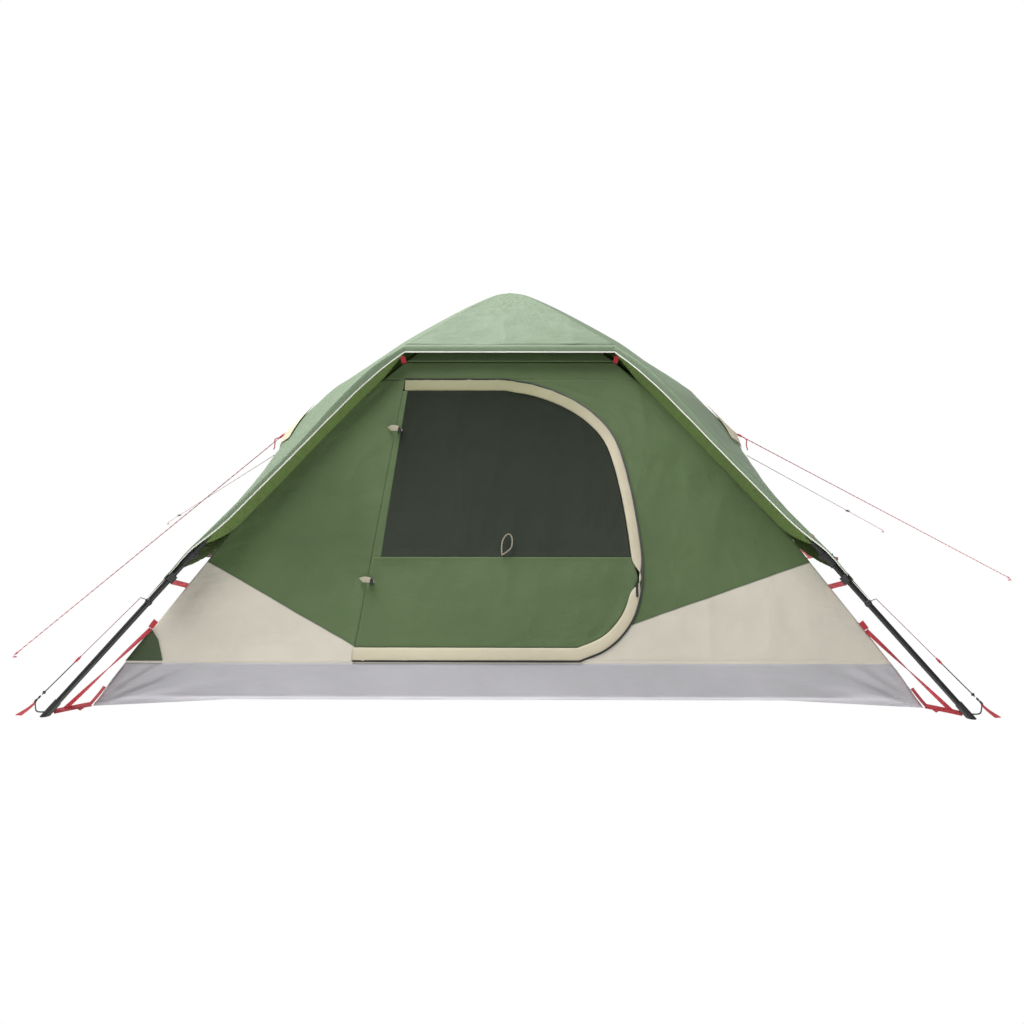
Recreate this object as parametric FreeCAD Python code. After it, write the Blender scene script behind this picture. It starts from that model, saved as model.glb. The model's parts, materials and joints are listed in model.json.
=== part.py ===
import FreeCAD, Part
import math
import os

# Quick-opening dome tent: a hub and four folding legs carry a fly sheet, and
# an inner tent hangs under the legs. Units are millimetres, +Z is up, the
# door faces -Y, and the origin is on the ground under the hub.

V = FreeCAD.Vector
cutter = 80.0                # side of a cutting box, larger than any fitting

# ---- driving dimensions ------------------------------------------------
foot_x = 1500.0              # half the distance between feet, side to side
foot_y = 1250.0              # half the distance between feet, front to back
hub_pivot_radius = 45.0      # hub hinge pins, from the tent's axis
hub_pivot_height = 1290.0
lower_length = 722.0         # ground to lower elbow, along the tube
lower_slope = 40.4           # degrees
middle_length = 800.0        # lower elbow to upper elbow, along the rod
middle_slope = 37.5          # degrees, and the slope where the upper rod starts

rod_radius = 4.75            # glass-fibre rods
tube_radius = 9.5            # lower steel tubes
tube_wall = 1.0
rod_socket_radius = 8.0      # at the upper elbow and the hub
low_rod_socket_radius = 9.5  # at the lower elbow
tube_socket_radius = 13.0
socket_length = 55.0
joint_gap = 0.5              # each fitting stops this far from its joint plane

upper_elbow_offset = 12.0    # pivot, above the rod's axis
lower_elbow_offset = 14.0    # pivot, below the rod's axis, towards the inside
knuckle_radius = 7.0
knuckle_arm_reach = 15.4     # the knuckle's foot, along its socket
tongue_half = 3.8            # half the thickness of a hinge tongue
cheek_thickness = 4.5
side_play = 0.4              # tongue to cheek, each side
pin_radius = 2.5
pin_play = 0.05
turn_play = 0.6              # fitting bodies to a turning knuckle
rod_set_back = 9.0           # rod ends, from the joint plane
tube_set_back = 12.0

hub_radius = 52.0
hub_above_pivot = 12.0
hub_below_pivot = 8.0
hub_tongue_reach = 12.0      # hub pin to the start of the upper rod's socket
hub_rod_reach = 16.0
hub_socket_length = 45.0
hub_slot_play = 1.5          # tongue's end to the bottom of its slot
hub_slot_roof = 3.0          # solid plastic above each slot
hub_cap_radius = 40.0
hub_cap_top_radius = 28.0
hub_cap_height = 6.0

foot_cap_radius = 12.0
foot_cap_length = 62.0
foot_tube_gap = 22.0         # tube end, from the ground along the tube
clip_from_elbow = 115.0      # pole clip, below the lower elbow along the tube
clip_width = 28.0
clip_height = 24.0
clip_length = 30.0

cloth = 1.5                  # thickness of every fabric solid
piece_gap = 0.5              # fabric to fabric, where nothing joins them
webbing = 20.0               # strap width
webbing_thickness = 2.0

floor_height = 3.0
floor_share = 0.084          # where the groundsheet corner lies, foot to hub
tub_share = 0.145            # top edge of the tub
tub_height = 128.0
ridge_share = 0.304          # break in the inner tent's side walls
ridge_hang = 76.0            # below the leg
top_share = 0.74             # inner tent's roof corner and fly's front corner
top_hang = 46.0
roof_share = 0.95
roof_hang = 40.0

# the fly follows each leg: (share of the way from foot to hub, height above the leg's axis)
fly_leg_line = ((0.235, 34.0), (0.282, 36.0), (0.42, 22.0), (0.50, 22.0), (0.58, 35.0),
                (0.66, 35.0), (0.74, 20.0), (0.87, 18.0), (0.955, 28.0))
# and down the middle of a side panel: (distance from the tent's axis, height)
side_line = ((1158.0, 318.0), (1093.0, 430.0), (938.0, 680.0), (891.0, 769.0), (735.0, 921.0),
             (600.0, 1010.0), (420.0, 1125.0), (210.0, 1240.0), (70.0, 1308.0))
guy_row = 3                  # the row of both lines that the guy patch is sewn at
tail_share = 0.192           # tip of each corner tail
tail_width = 70.0
fly_apex = 1322.0
piping_width = 6.0
patch_reach = 100.0          # guy patch, above the guy point
patch_lift = 0.5
patch_low_reach = 80.0       # below the guy point
patch_half_width = 60.0

door_sill = 152.0
door_head = 59.0             # below the inner tent's roof corner
door_foot_x = 508.0          # hinge seam at the sill, left of the middle
door_seam_inset = 4.0        # hinge seam at the head, from the wall's corner
door_play = 2.0              # door leaf to the wall and the zip flap
flap_width = 38.0
zip_width = 7.0
zip_depth = 3.0
window_sill = 440.0
# the door's free edge: (distance right of the middle, height above the sill)
door_edge_low = ((245.0, 0.0), (345.0, 30.0), (425.0, 92.0), (458.0, 175.0), (466.0, 260.0),
                 (462.0, 330.0), (440.0, 480.0))
# and (distance right of the middle, depth below the head)
door_edge_high = ((404.0, 240.0), (362.0, 160.0), (262.0, 78.0), (117.0, 20.0), (-20.0, 0.0))
slider_height = 355.0
slider_travel = 250.0
slider_body = (10.0, 4.0, 14.0)
slider_neck = (4.0, 3.0, 6.0)
slider_pull = (8.0, 2.0, 42.0)
slider_stand = 1.0           # slider, in front of the wall
toggle_heights = (365.0, 845.0)
toggle_radius = 4.5
toggle_length = 32.0
toggle_from_seam = 30.0      # toggle's free end, left of the hinge seam
toggle_stand = 8.0           # toggle's axis, in front of the wall

guy_radius = 1.75
back_guy_radius = 1.25
guy_ends = {"front_left": (-1836.0, -561.0), "front_right": (2277.0, 756.0),
            "back_left": (-1903.0, 2115.0), "back_right": (1976.0, 1914.0)}
guy_loop_radius = 9.0
guy_start_gap = 3.0          # cord's start, outside the patch
back_guy_start_y = 4.0
runner_length = 34.0
runner_width = 14.0
runner_thickness = 6.0
runner_places = {"back_left": 0.86, "back_right": 0.68}
runner_play = 0.08

hook_out = 66.0              # corner hook, outwards of the foot along X
hook_back = 112.0            # and towards the middle of the side along Y
hook_height = 16.0
hook_wire = 2.0
hook_shank = 8.0
hook_gap = 0.5               # hook's shank to the cord's end
cord_from_tail = (24.0, -10.0, -16.0)
peg_loop_length = 26.0
peg_loop_out = 4.0           # peg loop, outside the hook
floor_strap_in = (28.0, 24.0)  # strap's end, in from the foot
wall_strap_in = (50.0, 46.0, 5.0)
strap_gap = 1.0              # floor strap to the groundsheet's corner
strap_height = 222.0         # wall strap's top, on the front and back walls
strap_inset = 16.0           # and in from the wall's edge
tab_length = 34.0
tab_gap = 4.0                # tab's foot, outside the wall's corner edge
clip_tab_gap = 8.0           # tab's head, below the clip
roof_tab_gap = 6.0           # tab's head, below the rod
corner_cord_radius = 1.5
# -------------------------------------------------------------------------

os.makedirs("parts", exist_ok=True)
made = []


def save(name, solids):
    """Write one node: a solid, or a group of separate solids."""
    solids = solids if isinstance(solids, list) else [solids]
    shape = solids[0] if len(solids) == 1 else Part.makeCompound(solids)
    for solid in solids:
        assert solid.isValid() and solid.Volume > 0, name
    shape.exportStep("parts/" + name + ".step")
    made.append((name, len(solids), shape.Volume))


def prism(corners, along):
    """A flat polygon pushed along a vector."""
    points = [V(*corner) for corner in corners]
    return Part.Face(Part.makePolygon(points + points[:1])).extrude(V(*along))


def rod_between(start, end, radius):
    start = V(*start)
    along = V(*end) - start
    return Part.makeCylinder(radius, along.Length, start, along)


def mirrored(point, side_x, side_y):
    return (point[0] * side_x, point[1] * side_y, point[2])


def degrees_between(rise, run):
    return math.degrees(math.atan2(rise, run))


# ---- the leg's line, in its own upright plane: r outwards, z up -----------
foot_radius = math.hypot(foot_x, foot_y)


def on_slope(r, z, slope, length):
    """Go inwards and up from (r, z)."""
    angle = math.radians(slope)
    return r - length * math.cos(angle), z + length * math.sin(angle)


def off_axis(point, slope, distance):
    """Move square to a slope, away from the ground for a positive distance."""
    angle = math.radians(slope)
    return point[0] + distance * math.sin(angle), point[1] + distance * math.cos(angle)


low_elbow = on_slope(foot_radius, 0.0, lower_slope, lower_length)
high_elbow = on_slope(low_elbow[0], low_elbow[1], middle_slope, middle_length)
low_pivot = off_axis(low_elbow, middle_slope, -lower_elbow_offset)
high_pivot = off_axis(high_elbow, middle_slope, upper_elbow_offset)
tube_start = off_axis(low_pivot, lower_slope, lower_elbow_offset)
chord_run = high_elbow[0] - hub_pivot_radius
chord_rise = hub_pivot_height - high_elbow[1]
chord_slope = degrees_between(chord_rise, chord_run)
half_turn = middle_slope - chord_slope
arc_radius = math.hypot(chord_run, chord_rise) / (2 * math.sin(math.radians(half_turn)))
hub_slope = middle_slope - 2 * half_turn
arc_centre = (high_elbow[0] - arc_radius * math.sin(math.radians(middle_slope)),
              high_elbow[1] - arc_radius * math.cos(math.radians(middle_slope)))


def leg_height(r):
    """Height of the leg's axis at a distance from the tent's axis."""
    if r >= low_elbow[0]:
        return (foot_radius - r) * math.tan(math.radians(lower_slope))
    if r >= high_elbow[0]:
        return low_elbow[1] + (low_elbow[0] - r) * math.tan(math.radians(middle_slope))
    return arc_centre[1] + math.sqrt(arc_radius ** 2 - (r - arc_centre[0]) ** 2)


def under_leg(share, lift):
    """A point on a leg's line, a share of the way from foot to hub and a lift
    above it, as distances from the tent's axis: along X, along Y, and height."""
    rest = 1.0 - share
    return rest * foot_x, rest * foot_y, leg_height(rest * foot_radius) + lift


# ---- leg fittings, modelled in the plane y = 0 ----------------------------
def frame_at(point, slope):
    """Placement whose +X runs down and outwards along a leg of this slope."""
    turn = FreeCAD.Rotation(V(0, 1, 0), slope)
    return FreeCAD.Placement(V(point[0], 0, point[1]), turn)


def placed(shape, placement):
    shape = shape.copy()
    shape.Placement = placement
    return shape


def axial(radius, start, end):
    """A cylinder along local X."""
    return Part.makeCylinder(radius, end - start, V(start, 0, 0), V(1, 0, 0))


def cross(radius, half, height):
    """A cylinder along Y, its axis at a height over the joint."""
    return Part.makeCylinder(radius, 2 * half, V(0, -half, height), V(0, 1, 0))


def cheek_pair(shape_of_radius):
    """Keep what lies in the two cheeks beside a tongue."""
    inner = tongue_half + side_play
    outer = inner + cheek_thickness
    left = Part.makeBox(2 * cutter, cheek_thickness, 2 * cutter, V(-cutter, inner, -cutter))
    right = Part.makeBox(2 * cutter, cheek_thickness, 2 * cutter, V(-cutter, -outer, -cutter))
    return shape_of_radius.common(left.fuse(right))


def knuckle_arm(height, side):
    """The knuckle's disc with a foot that joins it to a socket on one side."""
    half = tongue_half + side_play + cheek_thickness
    disc = cross(knuckle_radius, half, height)
    start = 0.0 if side > 0 else -knuckle_arm_reach
    arm = Part.makeBox(knuckle_arm_reach, 2 * half, abs(height), V(start, -half, min(0.0, height)))
    return disc.fuse(arm)


def tongue_only(shape):
    return shape.common(Part.makeBox(2 * cutter, 2 * tongue_half, 2 * cutter,
                                     V(-cutter, -tongue_half, -cutter)))


def elbow_fitting(socket_radius, height, side, has_tongue, rod):
    """One half of an elbow hinge: a socket with a tongue or two cheeks.
    side is +1 for the half that runs outwards from the joint."""
    ends = (joint_gap, socket_length) if side > 0 else (-socket_length, -joint_gap)
    socket = axial(socket_radius, *ends)
    half = tongue_half + side_play + cheek_thickness + side_play
    clear_disc = cross(knuckle_radius + turn_play, half, height)
    arm = knuckle_arm(height, side)
    if has_tongue:
        keep = tongue_only(arm)
        clear = clear_disc.cut(tongue_only(clear_disc))
    else:
        keep = cheek_pair(arm)
        slot = 2 * (tongue_half + side_play)
        clear = clear_disc.common(Part.makeBox(2 * cutter, slot, 2 * cutter,
                                               V(-cutter, -slot / 2, -cutter)))
    bore = cross(pin_radius + (pin_play if has_tongue else 0.0), half + 1, height)
    # a tongue turns on the pin, and the cheeks hold it
    fitting = socket.fuse(keep).cut(clear).cut(bore).cut(rod)
    return fitting.removeSplitter()


def hinge_pin(height):
    half = tongue_half + side_play + cheek_thickness
    return cross(pin_radius, half, height)


def one_leg():
    """Every solid of one leg, in the plane y = 0 with r along +X."""
    parts = {}
    low_frame = frame_at(low_elbow, middle_slope)
    tube_frame = frame_at(tube_start, lower_slope)
    high_frame = frame_at(high_elbow, middle_slope)
    hub_point = (hub_pivot_radius, hub_pivot_height)
    hub_frame = frame_at(hub_point, hub_slope)

    # lower tube and its elbow half, foot and pole clip
    outer = axial(tube_radius, tube_set_back, lower_length - foot_tube_gap)
    inner = axial(tube_radius - tube_wall, tube_set_back, lower_length - foot_tube_gap)
    parts["lower_tube"] = [placed(outer.cut(inner), tube_frame)]
    elbow_low = elbow_fitting(tube_socket_radius, -lower_elbow_offset, 1, False, outer)
    cap = axial(foot_cap_radius, lower_length - foot_cap_length, lower_length + foot_cap_radius)
    cap = placed(cap.cut(outer), tube_frame)
    ground = Part.makeBox(2 * cutter, 2 * cutter, cutter, V(foot_radius - cutter, -cutter, -cutter))
    parts["lower_ends"] = [placed(elbow_low, tube_frame), cap.cut(ground)]
    clip = Part.makeBox(clip_length, clip_width, clip_height,
                        V(clip_from_elbow - clip_length / 2, -clip_width / 2, -clip_height / 2))
    parts["clip"] = [placed(clip.cut(outer), tube_frame)]

    # middle rod with half of each elbow, and the pins that the cheeks hold
    rod = axial(rod_radius, rod_set_back - middle_length, -rod_set_back)
    parts["middle_rod"] = [placed(rod, low_frame)]
    end_low = elbow_fitting(low_rod_socket_radius, -lower_elbow_offset, -1, True, rod)
    upper_rod_stub = axial(rod_radius, rod_set_back, middle_length - rod_set_back)
    end_high = elbow_fitting(rod_socket_radius, upper_elbow_offset, 1, False, upper_rod_stub)
    pin_high = hinge_pin(upper_elbow_offset)
    parts["middle_ends"] = [placed(end_low, low_frame), placed(end_high, high_frame),
                            placed(pin_high, high_frame)]
    parts["lower_ends"].append(placed(hinge_pin(-lower_elbow_offset), tube_frame))

    # upper rod: an arc that starts in line with the middle rod
    start = rod_set_back / arc_radius
    stop = math.radians(2 * half_turn) - hub_rod_reach / arc_radius
    section = Part.Face(Part.Wire(Part.makeCircle(rod_radius, V(high_elbow[0], 0, high_elbow[1]),
                                                  V(-math.cos(math.radians(middle_slope)), 0,
                                                    math.sin(math.radians(middle_slope))))))
    centre = V(arc_centre[0], 0, arc_centre[1])
    section.rotate(centre, V(0, 1, 0), -math.degrees(start))
    arc = section.revolve(centre, V(0, 1, 0), -math.degrees(stop - start))
    parts["upper_rod"] = [arc]
    end_joint = elbow_fitting(rod_socket_radius, upper_elbow_offset, -1, True,
                              Part.makeBox(1, 1, 1, V(500, 0, 0)))
    socket = axial(rod_socket_radius, hub_tongue_reach, hub_tongue_reach + hub_socket_length)
    tongue = cross(knuckle_radius, tongue_half, 0.0)
    bar = Part.makeBox(hub_tongue_reach + 2, 2 * tongue_half, 2 * knuckle_radius,
                       V(0, -tongue_half, -knuckle_radius))
    hub_end = socket.fuse(tongue.fuse(bar)).cut(cross(pin_radius + pin_play, 30, 0.0))
    parts["upper_ends"] = [placed(end_joint, high_frame).cut(arc), placed(hub_end, hub_frame).cut(arc)]
    return parts


leg = one_leg()
corners = {"front_left": (-1, -1), "front_right": (1, -1), "back_left": (-1, 1), "back_right": (1, 1)}


def leg_angle(side_x, side_y):
    return math.degrees(math.atan2(side_y * foot_y, side_x * foot_x))


for corner, (side_x, side_y) in corners.items():
    turn = leg_angle(side_x, side_y)
    for part_name, solids in leg.items():
        turned = []
        for solid in solids:
            copy = solid.copy()
            copy.rotate(V(0, 0, 0), V(0, 0, 1), turn)
            turned.append(copy)
        save(corner + "_" + part_name, turned)

# ---- hub -------------------------------------------------------------------
hub_bottom = hub_pivot_height - hub_below_pivot
hub_top = hub_pivot_height + hub_above_pivot
hub = Part.makeCylinder(hub_radius, hub_top - hub_bottom, V(0, 0, hub_bottom))
pins = []
for side_x, side_y in corners.values():
    turn = leg_angle(side_x, side_y)
    slot_half = tongue_half + side_play
    slot = Part.makeBox(cutter, 2 * slot_half, cutter,
                        V(hub_pivot_radius - knuckle_radius - hub_slot_play, -slot_half,
                          hub_top - hub_slot_roof - cutter))
    pin = Part.makeCylinder(pin_radius, 2 * (slot_half + cheek_thickness),
                            V(hub_pivot_radius, -slot_half - cheek_thickness, hub_pivot_height), V(0, 1, 0))
    for solid in (slot, pin):
        solid.rotate(V(0, 0, 0), V(0, 0, 1), turn)
    hub = hub.cut(slot).cut(pin)
    pins.append(pin)
save("hub_body", hub.removeSplitter())
save("hub_pins", pins)
cap = Part.makeCone(hub_cap_radius, hub_cap_top_radius, hub_cap_height, V(0, 0, hub_top))
save("hub_cap", cap)

# ---- inner tent --------------------------------------------------------------
def level(share, height):
    return (1 - share) * foot_x, (1 - share) * foot_y, height


floor_level = level(floor_share, floor_height)
tub_level = level(tub_share, tub_height)
ridge_height = under_leg(ridge_share, -ridge_hang)[2]
top_level = under_leg(top_share, -top_hang)
roof_level = under_leg(roof_share, -roof_hang)


def wall_depth(z):
    """Half depth of the front wall, a flat panel from the tub to the roof corner."""
    share = (z - tub_level[2]) / (top_level[2] - tub_level[2])
    return tub_level[1] + share * (top_level[1] - tub_level[1])


ridge_level = ((1 - ridge_share) * foot_x, wall_depth(ridge_height), ridge_height)


def wall_half(z):
    """Half width of the front wall at a height."""
    low, high = (tub_level, ridge_level) if z <= ridge_level[2] else (ridge_level, top_level)
    share = (z - low[2]) / (high[2] - low[2])
    return low[0] + share * (high[0] - low[0])


def band(low, high, axis, side, inset):
    """A wall between two levels, on the side that faces axis x or y, pushed inwards."""
    if axis == "y":
        points = [(-low[0], side * low[1], low[2]), (low[0], side * low[1], low[2]),
                  (high[0], side * high[1], high[2]), (-high[0], side * high[1], high[2])]
        return prism(points, (0, -side * cloth, 0))
    points = [(side * low[0], -low[1] + inset, low[2]), (side * low[0], low[1] - inset, low[2]),
              (side * high[0], high[1] - inset, high[2]), (side * high[0], -high[1] + inset, high[2])]
    return prism(points, (-side * cloth, 0, 0))


side_inset = cloth + piece_gap
sheet = Part.makeBox(2 * floor_level[0], 2 * floor_level[1], floor_height,
                     V(-floor_level[0], -floor_level[1], 0))
save("groundsheet", sheet)
save("tub_band", [band(floor_level, tub_level, "y", -1, 0), band(floor_level, tub_level, "y", 1, 0),
                  band(floor_level, tub_level, "x", -1, side_inset),
                  band(floor_level, tub_level, "x", 1, side_inset)])
save("back_wall", [band(tub_level, ridge_level, "y", 1, 0), band(ridge_level, top_level, "y", 1, 0)])
for name, side in (("left_wall", -1), ("right_wall", 1)):
    save(name, [band(tub_level, ridge_level, "x", side, side_inset),
                band(ridge_level, top_level, "x", side, side_inset)])


def roof_panels(low, high, lift):
    """Four sloping panels and a flat top, pushed downwards."""
    a = [(-low[0], -low[1]), (low[0], -low[1]), (low[0], low[1]), (-low[0], low[1])]
    b = [(-high[0], -high[1]), (high[0], -high[1]), (high[0], high[1]), (-high[0], high[1])]
    panels = []
    for i in range(4):
        j = (i + 1) % 4
        panels.append(prism([(*a[i], low[2] + lift), (*a[j], low[2] + lift),
                             (*b[j], high[2] + lift), (*b[i], high[2] + lift)], (0, 0, -cloth)))
    panels.append(prism([(*point, high[2] + lift) for point in b], (0, 0, -cloth)))
    return panels


save("inner_roof", roof_panels(top_level, roof_level, cloth + piece_gap))

# ---- front wall and door -------------------------------------------------------
door_top = top_level[2] - door_head


def seam_x(z):
    """The door's hinge seam, a straight line from the sill to the head."""
    share = (z - door_sill) / (door_top - door_sill)
    top_x = -(wall_half(door_top) - door_seam_inset)
    head_x = max(top_x, -(top_level[0] - door_seam_inset))
    return -door_foot_x + share * (head_x + door_foot_x)


edge = [(x, door_sill + up) for x, up in door_edge_low]
edge += [(x, door_top - down) for x, down in door_edge_high]


def between(points, z):
    """Where a rising outline crosses a height."""
    for (x0, z0), (x1, z1) in zip(points, points[1:]):
        if z0 <= z <= z1:
            return x0 + (x1 - x0) * (z - z0) / (z1 - z0)
    raise ValueError(z)


def on_wall(x, z):
    return (x, -wall_depth(z), z)


def wall_piece(outline):
    return prism([on_wall(x, z) for x, z in outline], (0, cloth, 0))


front = []
low_z = tub_level[2]
high_z = top_level[2]
rows = sorted({low_z, door_sill, ridge_level[2], door_top, high_z} | {z for _, z in edge})
for z0, z1 in zip(rows, rows[1:]):
    if z1 <= door_sill or z0 >= door_top:
        front.append(wall_piece([(-wall_half(z0), z0), (wall_half(z0), z0), (wall_half(z1), z1),
                                 (-wall_half(z1), z1)]))
        continue
    front.append(wall_piece([(between(edge, z0), z0), (wall_half(z0), z0), (wall_half(z1), z1),
                             (between(edge, z1), z1)]))
for z0, z1 in ((door_sill, ridge_level[2]), (ridge_level[2], door_top)):
    front.append(wall_piece([(-wall_half(z0), z0), (seam_x(z0), z0), (seam_x(z1), z1),
                             (-wall_half(z1), z1)]))
save("front_wall", front)


def inset_edge(distance):
    """The free edge moved in towards the door's middle, point by point."""
    ring = [(seam_x(door_sill), door_sill)] + edge + [(seam_x(door_top), door_top)]
    moved = []
    for before, here, after in zip(ring, ring[1:], ring[2:]):
        run = (after[0] - before[0], after[1] - before[1])
        length = math.hypot(*run)
        moved.append((here[0] - distance * run[1] / length, here[1] + distance * run[0] / length))
    start = (seam_x(door_sill + distance), door_sill + distance)
    end = (seam_x(door_top - distance), door_top - distance)
    return [start] + moved + [end]


outer_ring = [(seam_x(door_sill), door_sill)] + edge + [(seam_x(door_top), door_top)]
inner_ring = inset_edge(flap_width)
flap = []
for i in range(len(outer_ring) - 1):
    flap.append(wall_piece([outer_ring[i], outer_ring[i + 1], inner_ring[i + 1], inner_ring[i]]))
save("door_flap", flap)

leaf_ring = inset_edge(flap_width + door_play)
leaf_ring[0] = (leaf_ring[0][0] + door_play, leaf_ring[0][1])
leaf_ring[-1] = (leaf_ring[-1][0] + door_play, leaf_ring[-1][1])
free = leaf_ring[1:-1]
sill_part = [p for p in free if p[1] < window_sill]
head_part = [p for p in free if p[1] > window_sill]
cross_x = between(free, window_sill)
hinge_x = seam_x(window_sill) + door_play
window_foot = [(hinge_x, window_sill), (cross_x, window_sill)]
save("door_panel", wall_piece([leaf_ring[0]] + sill_part + window_foot[::-1]))
save("door_mesh", wall_piece(window_foot + head_part + [leaf_ring[-1]]))

zip_ring = inset_edge(flap_width / 2 + zip_width / 2)
zip_inner = inset_edge(flap_width / 2 - zip_width / 2)
chain = []
for i in range(1, len(zip_ring) - 2):
    outline = [zip_inner[i], zip_inner[i + 1], zip_ring[i + 1], zip_ring[i]]
    chain.append(prism([(x, -wall_depth(z) + cloth, z) for x, z in outline], (0, zip_depth, 0)))
save("door_zip", chain)

# zip slider: a body over the flap with a hanging pull
def slider_at(z):
    x = between(edge, z) - flap_width / 2
    return V(x, -wall_depth(z), z)


slide_start = slider_at(slider_height)
slide_end = slider_at(slider_height + slider_travel)
slide_axis = (slide_end - slide_start).normalize()
lean = degrees_between(wall_depth(slider_height) - wall_depth(slider_height + 100.0), 100.0)


def slider_box(size, back, bottom):
    """A box centred on the zip, from its back face and its lowest point."""
    return Part.makeBox(*size, V(-size[0] / 2, -back - size[1], bottom))


body = slider_box(slider_body, slider_stand, -slider_body[2] / 2)
neck = slider_box(slider_neck, slider_body[1], -slider_body[2] / 2)
pull = slider_box(slider_pull, slider_body[1] + slider_neck[1] - slider_pull[1],
                  -slider_body[2] / 2 + slider_neck[2] / 2 - slider_pull[2])
slider = body.fuse(neck).fuse(pull).removeSplitter()
slider.rotate(V(0, 0, 0), V(1, 0, 0), -lean)
slider.translate(slide_start + V(0, -slider_stand, 0))
save("zip_slider", slider)

toggles = []
for z in toggle_heights:
    spot = V(*on_wall(seam_x(z) - toggle_from_seam, z)) - V(0, toggle_stand, 0)
    toggles.append(Part.makeCylinder(toggle_radius, toggle_length, spot, V(1, 0, 0)))
save("door_toggles", toggles)

# ---- fly sheet ------------------------------------------------------------------
pole_line = [under_leg(share, gap) for share, gap in fly_leg_line]
depth_ratio = foot_y / foot_x
tail_tip = under_leg(tail_share, fly_leg_line[0][1])
back_line = [(x * depth_ratio, z) for x, z in side_line]
fly = []


def fly_triangle(a, b, c):
    fly.append(prism([a, b, c], (0, 0, -cloth)))


def fly_panel(pole, line, axis, side, hand, first):
    """Half a panel, from one leg's line to the panel's middle line."""
    def middle(i):
        across, z = line[i]
        return (side * across, 0.0, z) if axis == "x" else (0.0, side * across, z)

    def corner(i):
        if axis == "x":
            return mirrored(pole[i], side, hand)
        return mirrored(pole[i], hand, side)

    for i in range(first, len(pole) - 1):
        fly_triangle(corner(i + 1), middle(i), middle(i + 1))
        fly_triangle(corner(i), middle(i), corner(i + 1))
    fly_triangle(corner(len(pole) - 1), middle(len(pole) - 1), (0, 0, fly_apex))
    if first == 0:
        hem_end = V(*middle(0)) - V(*corner(0))
        beside = V(*corner(0)) + hem_end.normalize() * tail_width
        tip = mirrored(tail_tip, *((side, hand) if axis == "x" else (hand, side)))
        fly_triangle(tip, tuple(beside), corner(0))


front_first = [share for share, gap in fly_leg_line].index(top_share)
for hand in (-1, 1):
    fly_panel(pole_line, side_line, "x", -1, hand, 0)
    fly_panel(pole_line, side_line, "x", 1, hand, 0)
    fly_panel(pole_line, back_line, "y", 1, hand, 0)

# the front awning ends in a straight edge between the front corners
front_line = [(pole_line[i][1], pole_line[i][2]) for i in range(len(pole_line))]
for hand in (-1, 1):
    fly_panel(pole_line, front_line, "y", -1, hand, front_first)
save("fly_sheet", fly)

piping = []


def piping_run(a, b):
    shifted = [(p[0], p[1] - piece_gap, p[2]) for p in (a, b)]
    front_edge = [(p[0], p[1] - piping_width, p[2]) for p in reversed(shifted)]
    piping.append(prism(shifted + front_edge, (0, 0, -piping_width)))


for side in (-1, 1):
    for i in range(front_first):
        piping_run(mirrored(pole_line[i], side, -1), mirrored(pole_line[i + 1], side, -1))
piping_run(mirrored(pole_line[front_first], -1, -1), mirrored(pole_line[front_first], 1, -1))
save("fly_piping", piping)

# guy patches: doubled cloth round the guy points
patches = []
for side in (-1, 1):
    mid = [V(side * (x + cloth + patch_lift), 0.0, z) for x, z in side_line]
    above = mid[guy_row] + (mid[guy_row + 1] - mid[guy_row]).normalize() * patch_reach
    below = mid[guy_row] + (mid[guy_row - 1] - mid[guy_row]).normalize() * patch_low_reach
    for hand in (-1, 1):
        run = V(*mirrored(pole_line[guy_row], side, hand)) - V(side * side_line[guy_row][0], 0.0,
                                                              side_line[guy_row][1])
        reach = mid[guy_row] + run.normalize() * patch_half_width
        for far in (above, below):
            patches.append(prism([tuple(far), tuple(mid[guy_row]), tuple(reach)], (side * cloth, 0, 0)))
save("guy_patches", patches)

# ---- guy lines ------------------------------------------------------------------
guy_lengths = {}
for name, (end_x, end_y) in guy_ends.items():
    side = -1 if "left" in name else 1
    thick = guy_radius if "front" in name else back_guy_radius
    hem = side_line[guy_row] if "front" in name else side_line[guy_row - 1]
    lift = cloth * 2 + patch_lift + guy_start_gap
    start = V(side * (hem[0] + lift), 0.0, hem[1])
    if "back" in name:
        start.y = back_guy_start_y
    end = V(end_x, end_y, guy_loop_radius)
    guy_lengths[name] = (end - start).Length
    along = (end - start).normalize()
    save("guy_line_" + name, rod_between(start, end, thick))
    if name in runner_places:
        place = start + (end - start) * runner_places[name]
        flat = V(0, 0, 1).cross(along).normalize()
        block = Part.makeBox(runner_length, runner_width, runner_thickness,
                             V(-runner_length / 2, -runner_width / 2, -runner_thickness / 2))
        block = block.cut(Part.makeCylinder(thick + runner_play, runner_length + 2,
                                            V(-runner_length / 2 - 1, 0, 0), V(1, 0, 0)))
        turn = FreeCAD.Rotation(along, flat, V(0, 0, 1), "XYZ")
        block.Placement = FreeCAD.Placement(place, turn)
        save("guy_runner_" + name, block)

# ---- corner fixings ----------------------------------------------------------------
cords = []
hooks = []
loops = []
floor_straps = []
wall_straps = []
tabs = []


def tab_foot(side_x, side_y, z):
    """A point just outside the inner tent's corner edge at a height."""
    return V(side_x * (wall_half(z) + tab_gap), side_y * (wall_depth(z) + tab_gap), z)


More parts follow.
